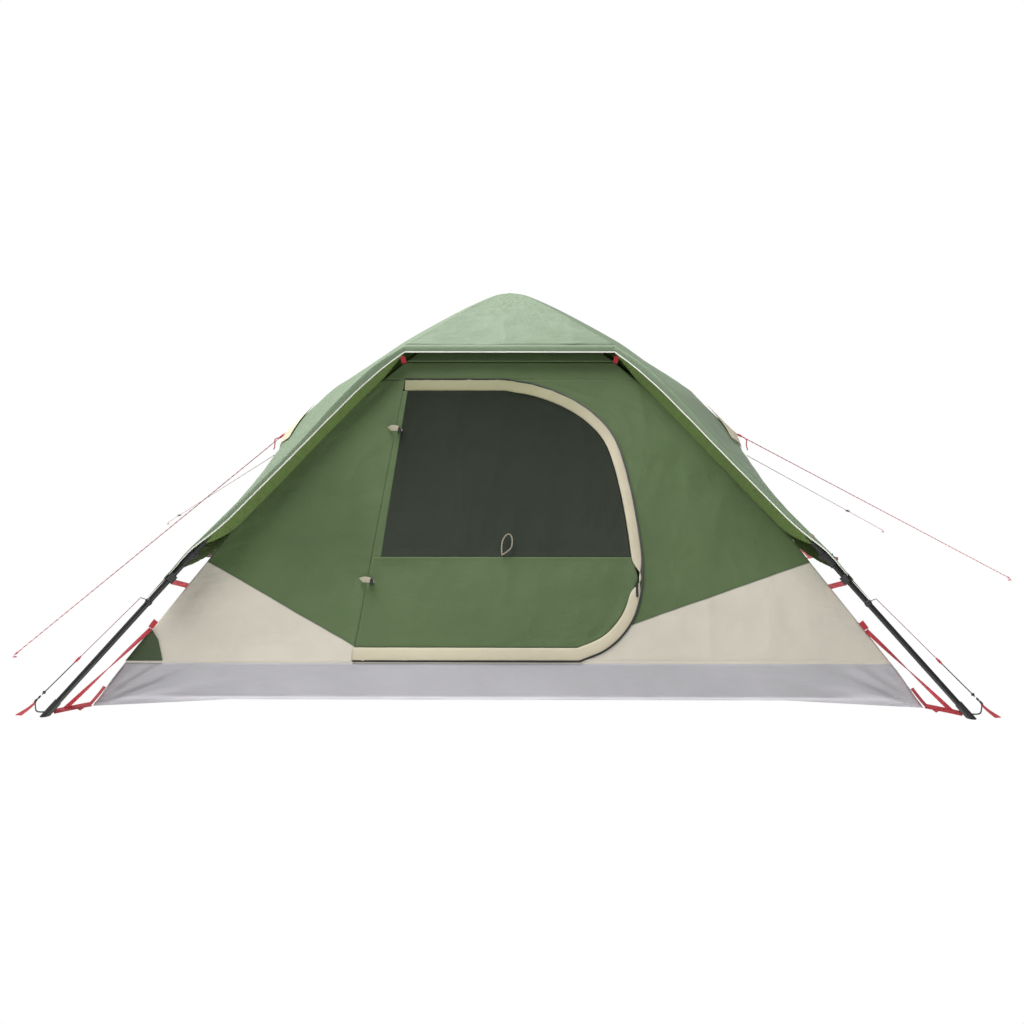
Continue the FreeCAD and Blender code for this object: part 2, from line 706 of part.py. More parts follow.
for side_x, side_y in corners.values():
    tail = V(*mirrored(tail_tip, side_x, side_y)) + V(*mirrored(cord_from_tail, side_x, side_y))
    hook = V(side_x * (foot_x + hook_out), side_y * (foot_y - hook_back), hook_height)
    down = (hook - tail).normalize()
    eye = hook - down * hook_shank
    cords.append(rod_between(tail, eye - down * hook_gap, corner_cord_radius))
    # the hook's shank, in line with the cord, over a webbing loop for a peg
    hooks.append(rod_between(eye, hook, hook_wire))
    ground_spot = V(hook.x + side_x * peg_loop_out, hook.y, 0)
    loops.append(Part.makeBox(peg_loop_length, webbing, webbing_thickness,
                              ground_spot + V(-peg_loop_length / 2, -webbing / 2, 0)))
    # straps from the foot to the groundsheet corner and to the tub's top edge
    foot_spot = V(side_x * (foot_x - floor_strap_in[0]), side_y * (foot_y - floor_strap_in[1]), 0)
    corner_spot = V(side_x * (floor_level[0] + strap_gap), side_y * (floor_level[1] + strap_gap), 0)
    run = (corner_spot - foot_spot)
    flat = V(-run.y, run.x, 0).normalize() * (webbing / 2)
    base = [foot_spot + flat, foot_spot - flat, corner_spot - flat, corner_spot + flat]
    strap = prism([tuple(p) for p in base], (0, 0, webbing_thickness))
    floor_straps.append(strap.cut(sheet))
    # the wall strap meets the front or back wall beside its lower corner
    wall_x = wall_half(strap_height) - strap_inset
    wall_y = wall_depth(strap_height) + piece_gap
    top = V(side_x * wall_x, side_y * wall_y, strap_height)
    low = V(side_x * (foot_x - wall_strap_in[0]), side_y * (foot_y - wall_strap_in[1]), wall_strap_in[2])
    half = V(webbing / 2, 0, 0)
    wall_straps.append(prism([tuple(top - half), tuple(top + half), tuple(low + half), tuple(low - half)],
                             (0, side_y * webbing_thickness, 0)))
    # webbing tabs: from the pole clip to the wall's ridge, and at the roof corner
    clip_spot = on_slope(low_elbow[0], low_elbow[1], lower_slope, -clip_from_elbow)
    drop = clip_height / 2 / math.cos(math.radians(lower_slope)) + clip_tab_gap
    share = 1 - clip_spot[0] / foot_radius
    clip_low = V(side_x * (1 - share) * foot_x, side_y * (1 - share) * foot_y, clip_spot[1] - drop)
    roof_high = V(*mirrored(under_leg(top_share, -rod_radius - roof_tab_gap), side_x, side_y))
    roof_low = V(side_x * (top_level[0] + tab_gap), side_y * (top_level[1] + tab_gap),
                 top_level[2] + tab_gap)
    for high, low_end in ((clip_low, tab_foot(side_x, side_y, clip_low.z - tab_length)),
                          (roof_high, roof_low)):
        across = V(-side_x * foot_y, side_y * foot_x, 0).normalize() * (webbing / 2)
        outwards = V(side_x * foot_x, side_y * foot_y, 0).normalize() * webbing_thickness
        tabs.append(prism([tuple(high + across), tuple(high - across), tuple(low_end - across),
                           tuple(low_end + across)], tuple(outwards)))
save("corner_cords", cords)
save("corner_hooks", hooks)
save("peg_loops", loops)
save("floor_straps", floor_straps)
save("wall_straps", wall_straps)
save("webbing_tabs", tabs)

for name, count, volume in made:
    print(name, count, round(volume))
for name, length in guy_lengths.items():
    print("guy line", name, "straight, no arc, length", round(length, 1))
print("low pivot", low_pivot, "high pivot", high_pivot)
print("slide axis", slide_axis, "start", slide_start)
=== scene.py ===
import json
import math
import bpy
import numpy as np
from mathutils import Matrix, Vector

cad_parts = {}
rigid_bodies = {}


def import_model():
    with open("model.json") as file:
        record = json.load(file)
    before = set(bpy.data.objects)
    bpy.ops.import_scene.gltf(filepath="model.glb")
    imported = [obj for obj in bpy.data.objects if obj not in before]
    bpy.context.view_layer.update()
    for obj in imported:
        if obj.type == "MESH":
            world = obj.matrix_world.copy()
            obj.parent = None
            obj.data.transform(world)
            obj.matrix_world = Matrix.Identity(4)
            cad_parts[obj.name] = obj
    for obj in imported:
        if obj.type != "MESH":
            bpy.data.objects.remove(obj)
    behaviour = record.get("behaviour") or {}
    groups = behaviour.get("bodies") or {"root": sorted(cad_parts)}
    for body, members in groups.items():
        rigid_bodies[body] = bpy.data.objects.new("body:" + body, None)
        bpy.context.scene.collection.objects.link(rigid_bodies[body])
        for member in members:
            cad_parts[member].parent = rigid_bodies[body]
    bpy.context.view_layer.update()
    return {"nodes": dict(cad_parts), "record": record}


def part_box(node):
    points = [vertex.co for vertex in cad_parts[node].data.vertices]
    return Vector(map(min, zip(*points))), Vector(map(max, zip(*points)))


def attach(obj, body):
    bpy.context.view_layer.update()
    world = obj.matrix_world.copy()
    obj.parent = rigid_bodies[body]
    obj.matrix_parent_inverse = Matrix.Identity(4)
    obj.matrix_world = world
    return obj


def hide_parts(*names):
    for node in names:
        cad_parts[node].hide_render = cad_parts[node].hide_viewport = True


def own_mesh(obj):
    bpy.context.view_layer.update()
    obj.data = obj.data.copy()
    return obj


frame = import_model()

# Camera. It stands level with a person's eyes about four and a half metres in
# front of the door, a little right of the middle, and looks slightly down.
eye = (0.052, -5.811, 1.495)
look_down = math.radians(10.19)
look_left = math.radians(0.45)
camera_data = bpy.data.cameras.new("camera")
camera_data.sensor_width = 36.0
camera_data.lens = 51.61
camera = bpy.data.objects.new("camera", camera_data)
camera.location = eye
camera.rotation_euler = (math.pi / 2 - look_down, 0.0, look_left)
bpy.context.scene.collection.objects.link(camera)
bpy.context.scene.camera = camera

# Guy lines. Braided polyester cord: thick red ones with a pale tracer in
# front, thin brown ones with a red tracer at the back. Each is tied to its
# side's guy patch, pulled tight, and ends in a knotted loop for a peg.


def sweep(name, path, half_width, half_thick, up=(0, 0, 1), twist=0.0, square=1.0, sides=12, closed=False):
    """A section carried along a path. The section is a superellipse: cosine and
    sine of the angle round it, raised to the power 'square', times the half
    sizes, so 1 is round and 0.3 nearly a rectangle. It turns by 'twist' radians
    from end to end. The UV map is the share of a turn round it, and metres along."""
    path = np.asarray(path, float)
    count = len(path)
    ahead = np.roll(path, -1, axis=0) - np.roll(path, 1, axis=0)
    if not closed:
        ahead[0] = path[1] - path[0]
        ahead[-1] = path[-1] - path[-2]
    ahead /= np.linalg.norm(ahead, axis=1)[:, None]
    across = np.cross(ahead, np.broadcast_to(np.asarray(up, float), ahead.shape))
    across /= np.linalg.norm(across, axis=1)[:, None]
    lift = np.cross(across, ahead)
    turn = np.linspace(0.0, twist, count)[:, None]
    across, lift = across * np.cos(turn) + lift * np.sin(turn), lift * np.cos(turn) - across * np.sin(turn)
    angle = np.linspace(0.0, 2 * math.pi, sides, endpoint=False)
    wide = np.sign(np.cos(angle)) * np.abs(np.cos(angle)) ** square
    thick = np.sign(np.sin(angle)) * np.abs(np.sin(angle)) ** square
    half_width = np.broadcast_to(np.asarray(half_width, float).reshape(-1, 1), (count, 1))
    half_thick = np.broadcast_to(np.asarray(half_thick, float).reshape(-1, 1), (count, 1))
    rings = (path[:, None, :] + across[:, None, :] * (half_width * wide)[:, :, None]
             + lift[:, None, :] * (half_thick * thick)[:, :, None])
    steps = np.linalg.norm(np.diff(path, axis=0), axis=1)
    along = np.concatenate([[0.0], np.cumsum(steps)])
    spans = count if closed else count - 1
    i, j = np.meshgrid(np.arange(spans), np.arange(sides), indexing="ij")
    after = (i + 1) % count
    beside = (j + 1) % sides
    quads = np.stack([i * sides + j, i * sides + beside, after * sides + beside, after * sides + j], -1)
    faces = quads.reshape(-1, 4).tolist()
    u = np.stack([j, j + 1, j + 1, j], -1) / sides
    far = np.append(along, along[-1] + np.linalg.norm(path[0] - path[-1]))
    v = np.stack([far[i], far[i], far[i + 1], far[i + 1]], -1)
    uv = np.stack([u, v], -1).reshape(-1, 2)
    if not closed:
        faces.append(list(range(sides - 1, -1, -1)))
        faces.append(list(range((count - 1) * sides, count * sides)))
        uv = np.concatenate([uv, np.zeros((2 * sides, 2))])
    return made_mesh(name, rings.reshape(-1, 3), faces, uv)


def made_mesh(name, points, faces, uv):
    """An object at the origin from points, faces and one UV pair per face corner."""
    mesh = bpy.data.meshes.new(name)
    mesh.from_pydata(np.asarray(points).tolist(), [], faces)
    layer = mesh.uv_layers.new(name="UVMap")
    layer.data.foreach_set("uv", np.asarray(uv, np.float32).ravel())
    mesh.polygons.foreach_set("use_smooth", np.ones(len(faces), bool))
    mesh.update()
    piece = bpy.data.objects.new(name, mesh)
    bpy.context.scene.collection.objects.link(piece)
    return piece


class Wire:
    """A socket that takes part in sums: each operator adds one Math node."""

    def __init__(self, finish, socket):
        self.finish = finish
        self.socket = socket

    def math(self, operation, other=0.0, reverse=False):
        pair = {0: other, 1: self} if reverse else {0: self, 1: other}
        return self.finish.node("ShaderNodeMath", {"operation": operation}, pair)

    def __add__(self, other):
        return self.math("ADD", other)

    def __sub__(self, other):
        return self.math("SUBTRACT", other)

    def __mul__(self, other):
        return self.math("MULTIPLY", other)

    def __rsub__(self, other):
        return self.math("SUBTRACT", other, reverse=True)

    def __lt__(self, other):
        return self.math("LESS_THAN", other)

    def __gt__(self, other):
        return self.math("GREATER_THAN", other)

    __radd__ = __add__
    __rmul__ = __mul__


class Finish:
    """One material. Constants go on the shader's own sockets, and node() adds
    any other node from its type, its settings and its sockets' values or links."""

    def __init__(self, name, **constants):
        self.material = bpy.data.materials.new(name)
        self.material.use_nodes = True
        self.tree = self.material.node_tree
        self.shader = self.tree.nodes["Principled BSDF"]
        for socket, value in constants.items():
            self.shader.inputs[socket.replace("_", " ")].default_value = value

    def node(self, kind, settings=None, sockets=None, out=0):
        made = self.tree.nodes.new(kind)
        for key, value in (settings or {}).items():
            setattr(made, key, value)
        for place, value in (sockets or {}).items():
            if isinstance(value, Wire):
                self.tree.links.new(value.socket, made.inputs[place])
            else:
                made.inputs[place].default_value = value
        return Wire(self, made.outputs[out])

    def place(self, source="Object"):
        """The three coordinates of a point: on the object, or of its UV map in metres."""
        whole = self.node("ShaderNodeTexCoord", out=source)
        return whole, [self.node("ShaderNodeSeparateXYZ", None, {0: whole}, out=axis) for axis in "XYZ"]

    def noise(self, where, scale, detail=3.0, rough=0.5):
        """Cloud noise from 0 to 1."""
        return self.node("ShaderNodeTexNoise", None,
                         {"Vector": where, "Scale": scale, "Detail": detail, "Roughness": rough})

    def mix(self, factor, first, second):
        """The second colour where the factor is 1."""
        return self.node("ShaderNodeMix", {"data_type": "RGBA"}, {0: factor, 6: first, 7: second}, out=2)

    def feed(self, **links):
        """Links what varies over the surface into the shader."""
        for socket, value in links.items():
            self.tree.links.new(value.socket, self.shader.inputs[socket.replace("_", " ")])

    def bump(self, height, depth, strength=1.0):
        self.feed(Normal=self.node("ShaderNodeBump", None,
                                   {"Height": height, "Distance": depth, "Strength": strength}))


def shade(colour, factor=1.0):
    """A colour as the four numbers that a socket takes."""
    return tuple(channel * factor for channel in colour) + (1.0,)


def braid(name, ground, tracer, pitch):
    """Braided cord: strands are a sine of the turn plus the run, crossed both
    ways, and a tracer strand shows where one of them passes a threshold."""
    finish = Finish(name, Roughness=0.75, Sheen_Weight=0.2)
    whole, (turn, along, rest) = finish.place("UV")
    right = (turn * (2 * math.pi) + along * (2 * math.pi / pitch)).math("SINE")
    left = (turn * (4 * math.pi) - along * (4 * math.pi / pitch)).math("SINE")
    strands = (turn * (8 * math.pi) + along * (12 * math.pi / pitch)).math("SINE")
    finish.feed(Base_Color=finish.mix(right > 0.35, shade(ground), shade(tracer)))
    finish.bump(left * 0.5 + strands * 0.5, 0.0004)
    return finish.material


guy_braid = braid("guy_braid", (0.40, 0.02, 0.05), (0.60, 0.40, 0.42), 0.024)
thin_braid = braid("thin_guy_braid", (0.20, 0.13, 0.13), (0.30, 0.03, 0.04), 0.010)
red_braid = braid("red_cord_end", (0.62, 0.10, 0.12), (0.42, 0.008, 0.02), 0.012)


def route(points):
    """A cord's smooth line: a NURBS spline of order 3 with the points as its
    control points, read back as the points of a mesh."""
    curve = bpy.data.curves.new("route", "CURVE")
    curve.dimensions = "3D"
    curve.resolution_u = 24
    spline = curve.splines.new("NURBS")
    spline.points.add(len(points) - 1)
    spline.points.foreach_set("co", np.column_stack([points, np.ones(len(points))]).ravel())
    spline.order_u = 3
    spline.use_endpoint_u = True
    holder = bpy.data.objects.new("route", curve)
    traced = bpy.data.meshes.new_from_object(holder)
    line = np.empty(3 * len(traced.vertices))
    traced.vertices.foreach_get("co", line)
    bpy.data.objects.remove(holder)
    bpy.data.curves.remove(curve)
    bpy.data.meshes.remove(traced)
    return line.reshape(-1, 3)


def knot_along(name, start, end, thick, finish):
    """A knot or whipping: the cord's round section, swollen by half a sine from
    end to end, with a ripple of three turns."""
    share = np.linspace(0.0, 1.0, 17)[:, None]
    swell = thick * (0.5 + 0.5 * np.sin(math.pi * share) + 0.08 * np.cos(6 * math.pi * share))
    knot = sweep(name, np.array(start) * (1 - share) + np.array(end) * share, swell, swell)
    knot.data.materials.append(finish)
    return knot


guy_facts = {
    "front_left": ((-0.8975, 0.0, 0.769), (-1.836, -0.561, 0.009), 0.0035, guy_braid),
    "front_right": ((0.8975, 0.0, 0.769), (2.277, 0.756, 0.009), 0.0035, guy_braid),
    "back_left": ((-0.9445, 0.004, 0.680), (-1.903, 2.115, 0.009), 0.0025, thin_braid),
    "back_right": ((0.9445, 0.004, 0.680), (1.976, 1.914, 0.009), 0.0025, thin_braid),
}
loop_radius = 0.0065
for corner, (start, end, thick, finish) in guy_facts.items():
    start = np.array(start)
    end = np.array(end)
    length = float(np.linalg.norm(end - start))
    ahead = (end - start) / length
    line = route([start, start + (end - start) * 0.2, start + (end - start) * 0.8, end])
    guy = sweep("guy_cord_" + corner, line, thick / 2, thick / 2)
    guy.data.materials.append(finish)
    # a small round loop on the ground, and the knot that closes it
    angle = np.linspace(0.0, 2 * math.pi, 28, endpoint=False)
    ring = np.stack([end[0] - ahead[0] * 0.002 + loop_radius * np.cos(angle),
                     end[1] - ahead[1] * 0.002 + loop_radius * np.sin(angle),
                     np.full(28, thick / 2 + 0.0005)], -1)
    loop = sweep("guy_loop_" + corner, ring, thick / 2, thick / 2, closed=True)
    loop.data.materials.append(finish)
    knot = knot_along("guy_knot_" + corner, end - ahead * 0.020, end - ahead * 0.006, thick, red_braid)
    pieces = [loop, knot]
    if "front" in corner:
        out = np.sign(start[0])
        pieces.append(knot_along("guy_start_knot_" + corner, start + ahead * 0.006, start + ahead * 0.034,
                                 thick * 1.3, red_braid))
        tail_line = route([start + ahead * 0.030, start + (out * 0.045, -0.005, -0.020),
                           start + (out * 0.040, -0.004, -0.045), start + (out * 0.048, -0.004, -0.066)])
        tail = sweep("guy_cord_end_" + corner, tail_line, 0.0022, 0.0022)
        tail.data.materials.append(red_braid)
        pieces.append(tail)
    for piece in [guy] + pieces:
        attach(piece, "root")
    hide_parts("guy_line_" + corner)

# Groundsheet and tub. Grey coated cloth: the floor turns up into a low wall
# all round, which leans inwards and is sewn to the inner tent above it.


def grid_mesh(name, points, width, height):
    """A sheet from a grid of points: quads between rows and columns, and a UV map
    that runs over 'width' metres along a row and 'height' metres up the rows."""
    points = np.asarray(points, float)
    rows, columns = points.shape[:2]
    i, j = np.meshgrid(np.arange(rows - 1), np.arange(columns - 1), indexing="ij")
    corner = i * columns + j
    quads = np.stack([corner, corner + 1, corner + columns + 1, corner + columns], -1).reshape(-1, 4)
    u = np.stack([j, j + 1, j + 1, j], -1) / (columns - 1) * width
    v = np.stack([i, i, i + 1, i + 1], -1) / (rows - 1) * height
    return made_mesh(name, points.reshape(-1, 3), quads.tolist(), np.stack([u, v], -1).reshape(-1, 2))


def joined(name, parts):
    """Several meshes as one object."""
    bpy.ops.object.select_all(action="DESELECT")
    for part in parts:
        part.select_set(True)
    bpy.context.view_layer.objects.active = parts[0]
    bpy.ops.object.join()
    parts[0].name = name
    parts[0].data.name = name
    return parts[0]


def creases(u, v, seed, lean=0.0, spread=0.6, count=9, longest=0.45, shortest=0.05):
    """Height of cloth creases, about -1 to 1: plane waves whose directions
    spread about 'lean', each folded by one minus the root of its sine, with
    heights that fall with their wavelengths, and faded by a slow beat."""
    chance = np.random.default_rng(seed)
    total = np.zeros(np.broadcast(u, v).shape)
    weight = 0.0
    for share in np.linspace(0.0, 1.0, count):
        length = longest * (shortest / longest) ** share
        direction = lean + spread * chance.uniform(-1, 1)
        phase, beat, beat_phase = chance.uniform(0, 2 * math.pi, 3)
        run = (u * math.cos(direction) + v * math.sin(direction)) / length
        cross = (v * math.cos(direction) - u * math.sin(direction)) / (length * 3.3)
        bend = 0.35 * np.sin(2 * math.pi * cross + beat)
        fold = 1.0 - 2.0 * np.abs(np.sin(math.pi * run + bend + phase)) ** 0.7
        fade = 0.5 + 0.5 * np.sin(2 * math.pi * cross * 0.7 + beat_phase)
        height = (length / longest) ** 0.75
        total += height * fold * fade
        weight += height * 0.6
    return total / weight


def thickened(piece, thickness, inside=None):
    """Gives a sheet its thickness, inwards; the inside may have its own material."""
    wall = piece.modifiers.new("thickness", "SOLIDIFY")
    wall.thickness = thickness
    wall.offset = -1.0
    if inside is not None:
        piece.data.materials.append(inside)
        wall.material_offset = 1
        wall.material_offset_rim = 0


def cloth(name, colour, second=None, mask=None, thread=0.0011, rough=0.72, tone=0.10, sheen=0.05, seams=None,
          crease=1.0):
    """Woven cloth: a plain weave as the product of two sines of the UV map,
    soft creases and a slow change of tone from cloud noise. mask, a function of
    (finish, x, y, z) on the object, gives where the second colour shows, and seams
    gives where a stitched seam darkens the cloth."""
    finish = Finish(name, Sheen_Weight=sheen, Sheen_Roughness=0.5, Specular_IOR_Level=0.35)
    whole, (x, y, z) = finish.place()
    flat, (u, v, w) = finish.place("UV")
    base = shade(colour)
    if mask is not None:
        base = finish.mix(mask(finish, x, y, z), base, shade(second))
    cloud = finish.noise(whole, 2.2, 4.0, 0.55)
    base = finish.mix((cloud - 0.35) * (2.2 * tone), base, shade((0.0, 0.0, 0.0)))
    fine = finish.noise(flat, 260.0, 2.0, 0.6)
    base = finish.mix((fine - 0.45) * 0.10, base, shade((1.0, 1.0, 1.0)))
    if seams is not None:
        base = finish.mix(seams(finish, x, y, z) * 0.45, base, shade((0.02, 0.025, 0.015)))
    weave = (u * (2 * math.pi / thread)).math("SINE") * (v * (2 * math.pi / thread)).math("SINE")
    long_way = finish.node("ShaderNodeMapping", None,
                           {"Vector": flat, "Rotation": (0.0, 0.0, 0.5), "Scale": (1.0, 2.2, 1.0)})
    wrinkle = finish.noise(long_way, 5.0, 5.0, 0.5)
    finish.feed(Base_Color=base, Roughness=finish.noise(whole, 9.0, 2.0) * 0.16 + (rough - 0.08))
    finish.bump(wrinkle * (5.0 * crease) + weave * 0.08, 0.0016, 0.9)
    return finish.material


floor_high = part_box("groundsheet")[1]
tub_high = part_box("tub_band")[1]
wall_low, wall_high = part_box("front_wall")
floor_half = np.array([floor_high[0], floor_high[1]])
tub_half = np.array([wall_high[0], abs(wall_low[1])])
tub_top = tub_high[2]
grey_cloth = cloth("grey_groundsheet_cloth", (0.50, 0.49, 0.515), tone=0.20, rough=0.62,
                   crease=2.0)


def round_box(half_x, half_y, share):
    """Points round a rectangle: side 0 is the front, from left to right, and each
    side takes a quarter of the way round."""
    side = np.floor(share * 4).astype(int) % 4
    step = share * 4 - np.floor(share * 4)
    across = 2 * step - 1
    x = np.select([side == 0, side == 1, side == 2, side == 3], [across, 1.0, -across, -1.0]) * half_x
    y = np.select([side == 0, side == 1, side == 2, side == 3], [-1.0, across, 1.0, -across]) * half_y
    return x, y


share = np.linspace(0.0, 1.0, 961)
rise = np.linspace(0.0, 1.0, 19)[:, None]
half_x = floor_half[0] + (tub_half[0] - floor_half[0]) * rise
half_y = floor_half[1] + (tub_half[1] - floor_half[1]) * rise
x, y = round_box(half_x, half_y, share[None, :])
round_length = 4 * (floor_half[0] + floor_half[1])
rumple = creases(share[None, :] * round_length, rise * 0.16, 11, lean=0.1, spread=1.3, longest=0.5)
calm = np.sin(math.pi * rise) ** 0.6
# folds that fan out of each pulled corner: a cosine of the angle about the corner
from_corner = np.abs(share[None, :] * 4 - np.round(share[None, :] * 4)) * (floor_half[0] + floor_half[1])
fan_angle = np.arctan2(rise * 0.16 + 0.004, from_corner + 0.01)
fan = np.cos(fan_angle * 15 + 0.6) * np.exp(-((from_corner / 0.42) ** 2)) * np.clip(from_corner / 0.10, 0, 1)
rumple = rumple + fan * 1.5
tub_points = np.stack([x, y, 0.003 + (tub_top - 0.003) * rise + 0.0 * x], -1)
outwards = np.stack([x / floor_half[0], y / floor_half[1], np.full_like(x, 0.35)], -1)
tub_points += outwards * (rumple * calm * 0.0045)[:, :, None]
hem_wave = 0.004 * np.sin(share * 2 * math.pi * 23) + 0.003 * np.sin(share * 2 * math.pi * 41 + 1.3)
# the lowest part turns in under the floor, except at the pulled corners
turn_in = 0.085
turn_height = 0.028
corner_reach = 0.35
tuck = (turn_in * np.clip(1 - tub_points[:, :, 2] / turn_height, 0, 1)
        * np.clip(from_corner / corner_reach, 0, 1))
tub_points[:, :, :2] *= 1 - tuck[:, :, None] / floor_half
tub_points[0, :, 2] = 0.0015
tub_points[1, :, 2] = np.maximum(tub_points[1, :, 2] + hem_wave * 0.5, 0.002)
tub = grid_mesh("tub_cloth", tub_points, round_length, 0.16)
tub.data.materials.append(grey_cloth)
thickened(tub, 0.0008)
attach(tub, "root")
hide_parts("tub_band")
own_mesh(tub)

a, b = np.meshgrid(np.linspace(-1, 1, 121), np.linspace(-1, 1, 101))
floor_bump = 0.0006 * creases(a * floor_half[0], b * floor_half[1], 5, spread=3.0)
# its edge follows the tub's, which turns in between the corners
sheet_turn_in = 0.078
turned_x = sheet_turn_in * np.clip((1 - np.abs(b)) * floor_half.sum() / (2 * corner_reach), 0, 1)
turned_y = sheet_turn_in * np.clip((1 - np.abs(a)) * floor_half.sum() / (2 * corner_reach), 0, 1)
floor_points = np.stack([a * (floor_half[0] - 0.001 - turned_x), b * (floor_half[1] - 0.001 - turned_y),
                         0.0022 + floor_bump], -1)
ground = grid_mesh("groundsheet_cloth", floor_points, 2 * floor_half[0], 2 * floor_half[1])
ground.data.materials.append(grey_cloth)
thickened(ground, 0.001)
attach(ground, "root")
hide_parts("groundsheet")

# Inner tent walls. Light breathable polyester, green above beige lower
# corners, sewn into a dome that hangs from the legs and the hub.
top_half = np.array([0.390, 0.325])
top_height = wall_high[2]
ridge_half = np.array([1.044, 0.8353])
ridge_height = 0.4255
pole_bow = 0.048
front_normal = (0.787, 0.617)  # forwards and up, out of the sloping front wall
front_slant = 1.27  # length up that wall for one of height
left_fall = -0.474  # slopes of the seams between green and beige
right_fall = 0.299
wall_colour = (0.092, 0.150, 0.053)
beige_colour = (0.68, 0.64, 0.54)


def bowed(z):
    """How far the wall's corner edge stands out beyond its straight line: half a
    sine between ridge and roof corner."""
    share = np.clip((z - ridge_height) / (top_height - ridge_height), 0, 1)
    return pole_bow * np.sin(math.pi * share)


def wall_half(z, axis=0):
    """Half width (axis 0) or half depth (axis 1) of the inner tent at a height."""
    heights = [0.003, tub_top, ridge_height, top_height]
    halves = [floor_half[axis], tub_half[axis], ridge_half[axis], top_half[axis]]
    return np.interp(z, heights, halves) + bowed(z) * (1.0, 0.35)[axis]


def front_panel(name, left, right, low, high, columns, rows, seed, puff=0.006, depth=0.0):
    """A panel of the front wall between two outlines, each a function of height:
    flat across, creased along the wall's normal by an amount that dies away at
    its edges. depth moves it outwards along that normal."""
    z = np.linspace(low, high, rows)[:, None]
    share = np.linspace(0.0, 1.0, columns)[None, :]
    x = left(z) * (1 - share) + right(z) * share
    z = np.broadcast_to(z, x.shape)
    y = -wall_half(z, 1)
    edge = np.clip(np.minimum(np.minimum(share, 1 - share) * columns,
                              np.minimum(z - low, high - z) / (high - low)
                              * rows) / 6.0, 0, 1)
    out = creases(x, z * front_slant, seed) * puff * edge + depth
    points = np.stack([x, y - front_normal[0] * out, z + front_normal[1] * out], -1)
    width = float(np.max(right(z) - left(z)))
    return grid_mesh(name, points, width, (high - low) * front_slant)


def falling_line(x, side, fall):
    """Height of the seam that falls from a ridge corner towards the door."""
    return (x - side * ridge_half[0]) * fall + ridge_height


def beige_corners(finish, x, y, z):
    """Where the front wall's lower corners are beige: below a line that falls
    from each ridge point towards the door."""
    left = (z < falling_line(x, -1, left_fall)) * (x < -0.3)
    right = (z < falling_line(x, 1, right_fall)) * (x > 0.2)
    return (left + right + (z < 0.1525)).math("MINIMUM", 1.0)


def corner_seams(finish, x, y, z):
    """Stitched seams, about five millimetres wide, along both falling lines and
    up the door's hinge side."""
    left = ((z - falling_line(x, -1, left_fall)).math("ABSOLUTE") < 0.0028) * (x < -0.45)
    right = ((z - falling_line(x, 1, right_fall)).math("ABSOLUTE") < 0.0028) * (x > 0.42)
    hinge = ((x - ((z - 0.152) * 0.1411 - 0.508)).math("ABSOLUTE") < 0.0022) * (z < 1.02)
    return (left + right + hinge).math("MINIMUM", 1.0)


wall_cloth = cloth("inner_wall_cloth", wall_colour, beige_colour, beige_corners, tone=0.22,
                   seams=corner_seams)
door_sill = 0.134
door_top = 1.0167
seam_low = -0.520
seam_high = -0.386
edge_x = [0.240, 0.345, 0.425, 0.458, 0.466, 0.462, 0.440, 0.404, 0.362, 0.262, 0.117, -0.020]
edge_z = [0.134, 0.168, 0.244, 0.327, 0.412, 0.482, 0.632, 0.7767, 0.8567, 0.9387, 0.9967, 1.0167]


def seam_x(z):
    """The door's hinge seam: a straight line from sill to head."""
    return seam_low + (seam_high - seam_low) * (z - door_sill) / (door_top - door_sill)


def outline(share):
    """The door's free edge from the sill to the head, as a smooth curve: a
    quadratic blend through the middles of the outline's straight runs."""
    points = np.stack([edge_x, edge_z], -1)
    points = np.concatenate([points[:1], points])
    scaled = np.asarray(share) * (len(points) - 2)
    k = np.clip(np.floor(scaled).astype(int), 0, len(points) - 3)
    t = (scaled - k)[..., None]
    a, b, c = points[k], points[k + 1], points[k + 2]
    return 0.5 * (a + b) + t * (b - a) + 0.5 * t ** 2 * (a - 2 * b + c)


free_edge = outline(np.linspace(0.0, 1.0, 240))
free_edge = np.concatenate([[[edge_x[0], door_sill]], free_edge, [[edge_x[-1], door_top]]])


def free_x(z, inset=0.0):
    """The free edge at a height, moved in by an inset square to the edge."""
    run = np.gradient(free_edge, axis=0)
    run /= np.linalg.norm(run, axis=1)[:, None] + 1e-9
    moved = free_edge + inset * np.stack([-run[:, 1], run[:, 0]], -1)
    order = np.argsort(moved[:, 1])
    return np.interp(z, moved[order, 1], moved[order, 0])


pinch_height = 0.375


def pinched(z):
    """Where two lengths of the flap meet and leave the zip in view: a bell curve."""
    return np.exp(-((z - pinch_height) / 0.045) ** 2)


left_half = front_panel("front_wall_left", lambda z: -wall_half(z), seam_x, tub_top, door_top, 90, 120, 21)
right_half = front_panel("front_wall_right", lambda z: free_x(z) - 0.0125 * pinched(z),
                         lambda z: wall_half(z), door_sill, door_top, 100, 120, 22)
sill_part = front_panel("front_wall_sill", seam_x, lambda z: wall_half(z), tub_top, door_sill, 160, 6, 23,
                        puff=0.0)
head_part = front_panel("front_wall_head", lambda z: -wall_half(z), lambda z: wall_half(z), door_top,
                        top_height,
                        120, 14, 24, puff=0.003)
front_wall = joined("front_wall_cloth", [left_half, right_half, sill_part, head_part])
front_wall.data.materials.append(wall_cloth)
thickened(front_wall, 0.0006)
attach(front_wall, "root")
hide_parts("front_wall")
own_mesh(front_wall)


def side_beige(finish, x, y, z):
    """The side and back walls are beige low down."""
    return z < 0.30


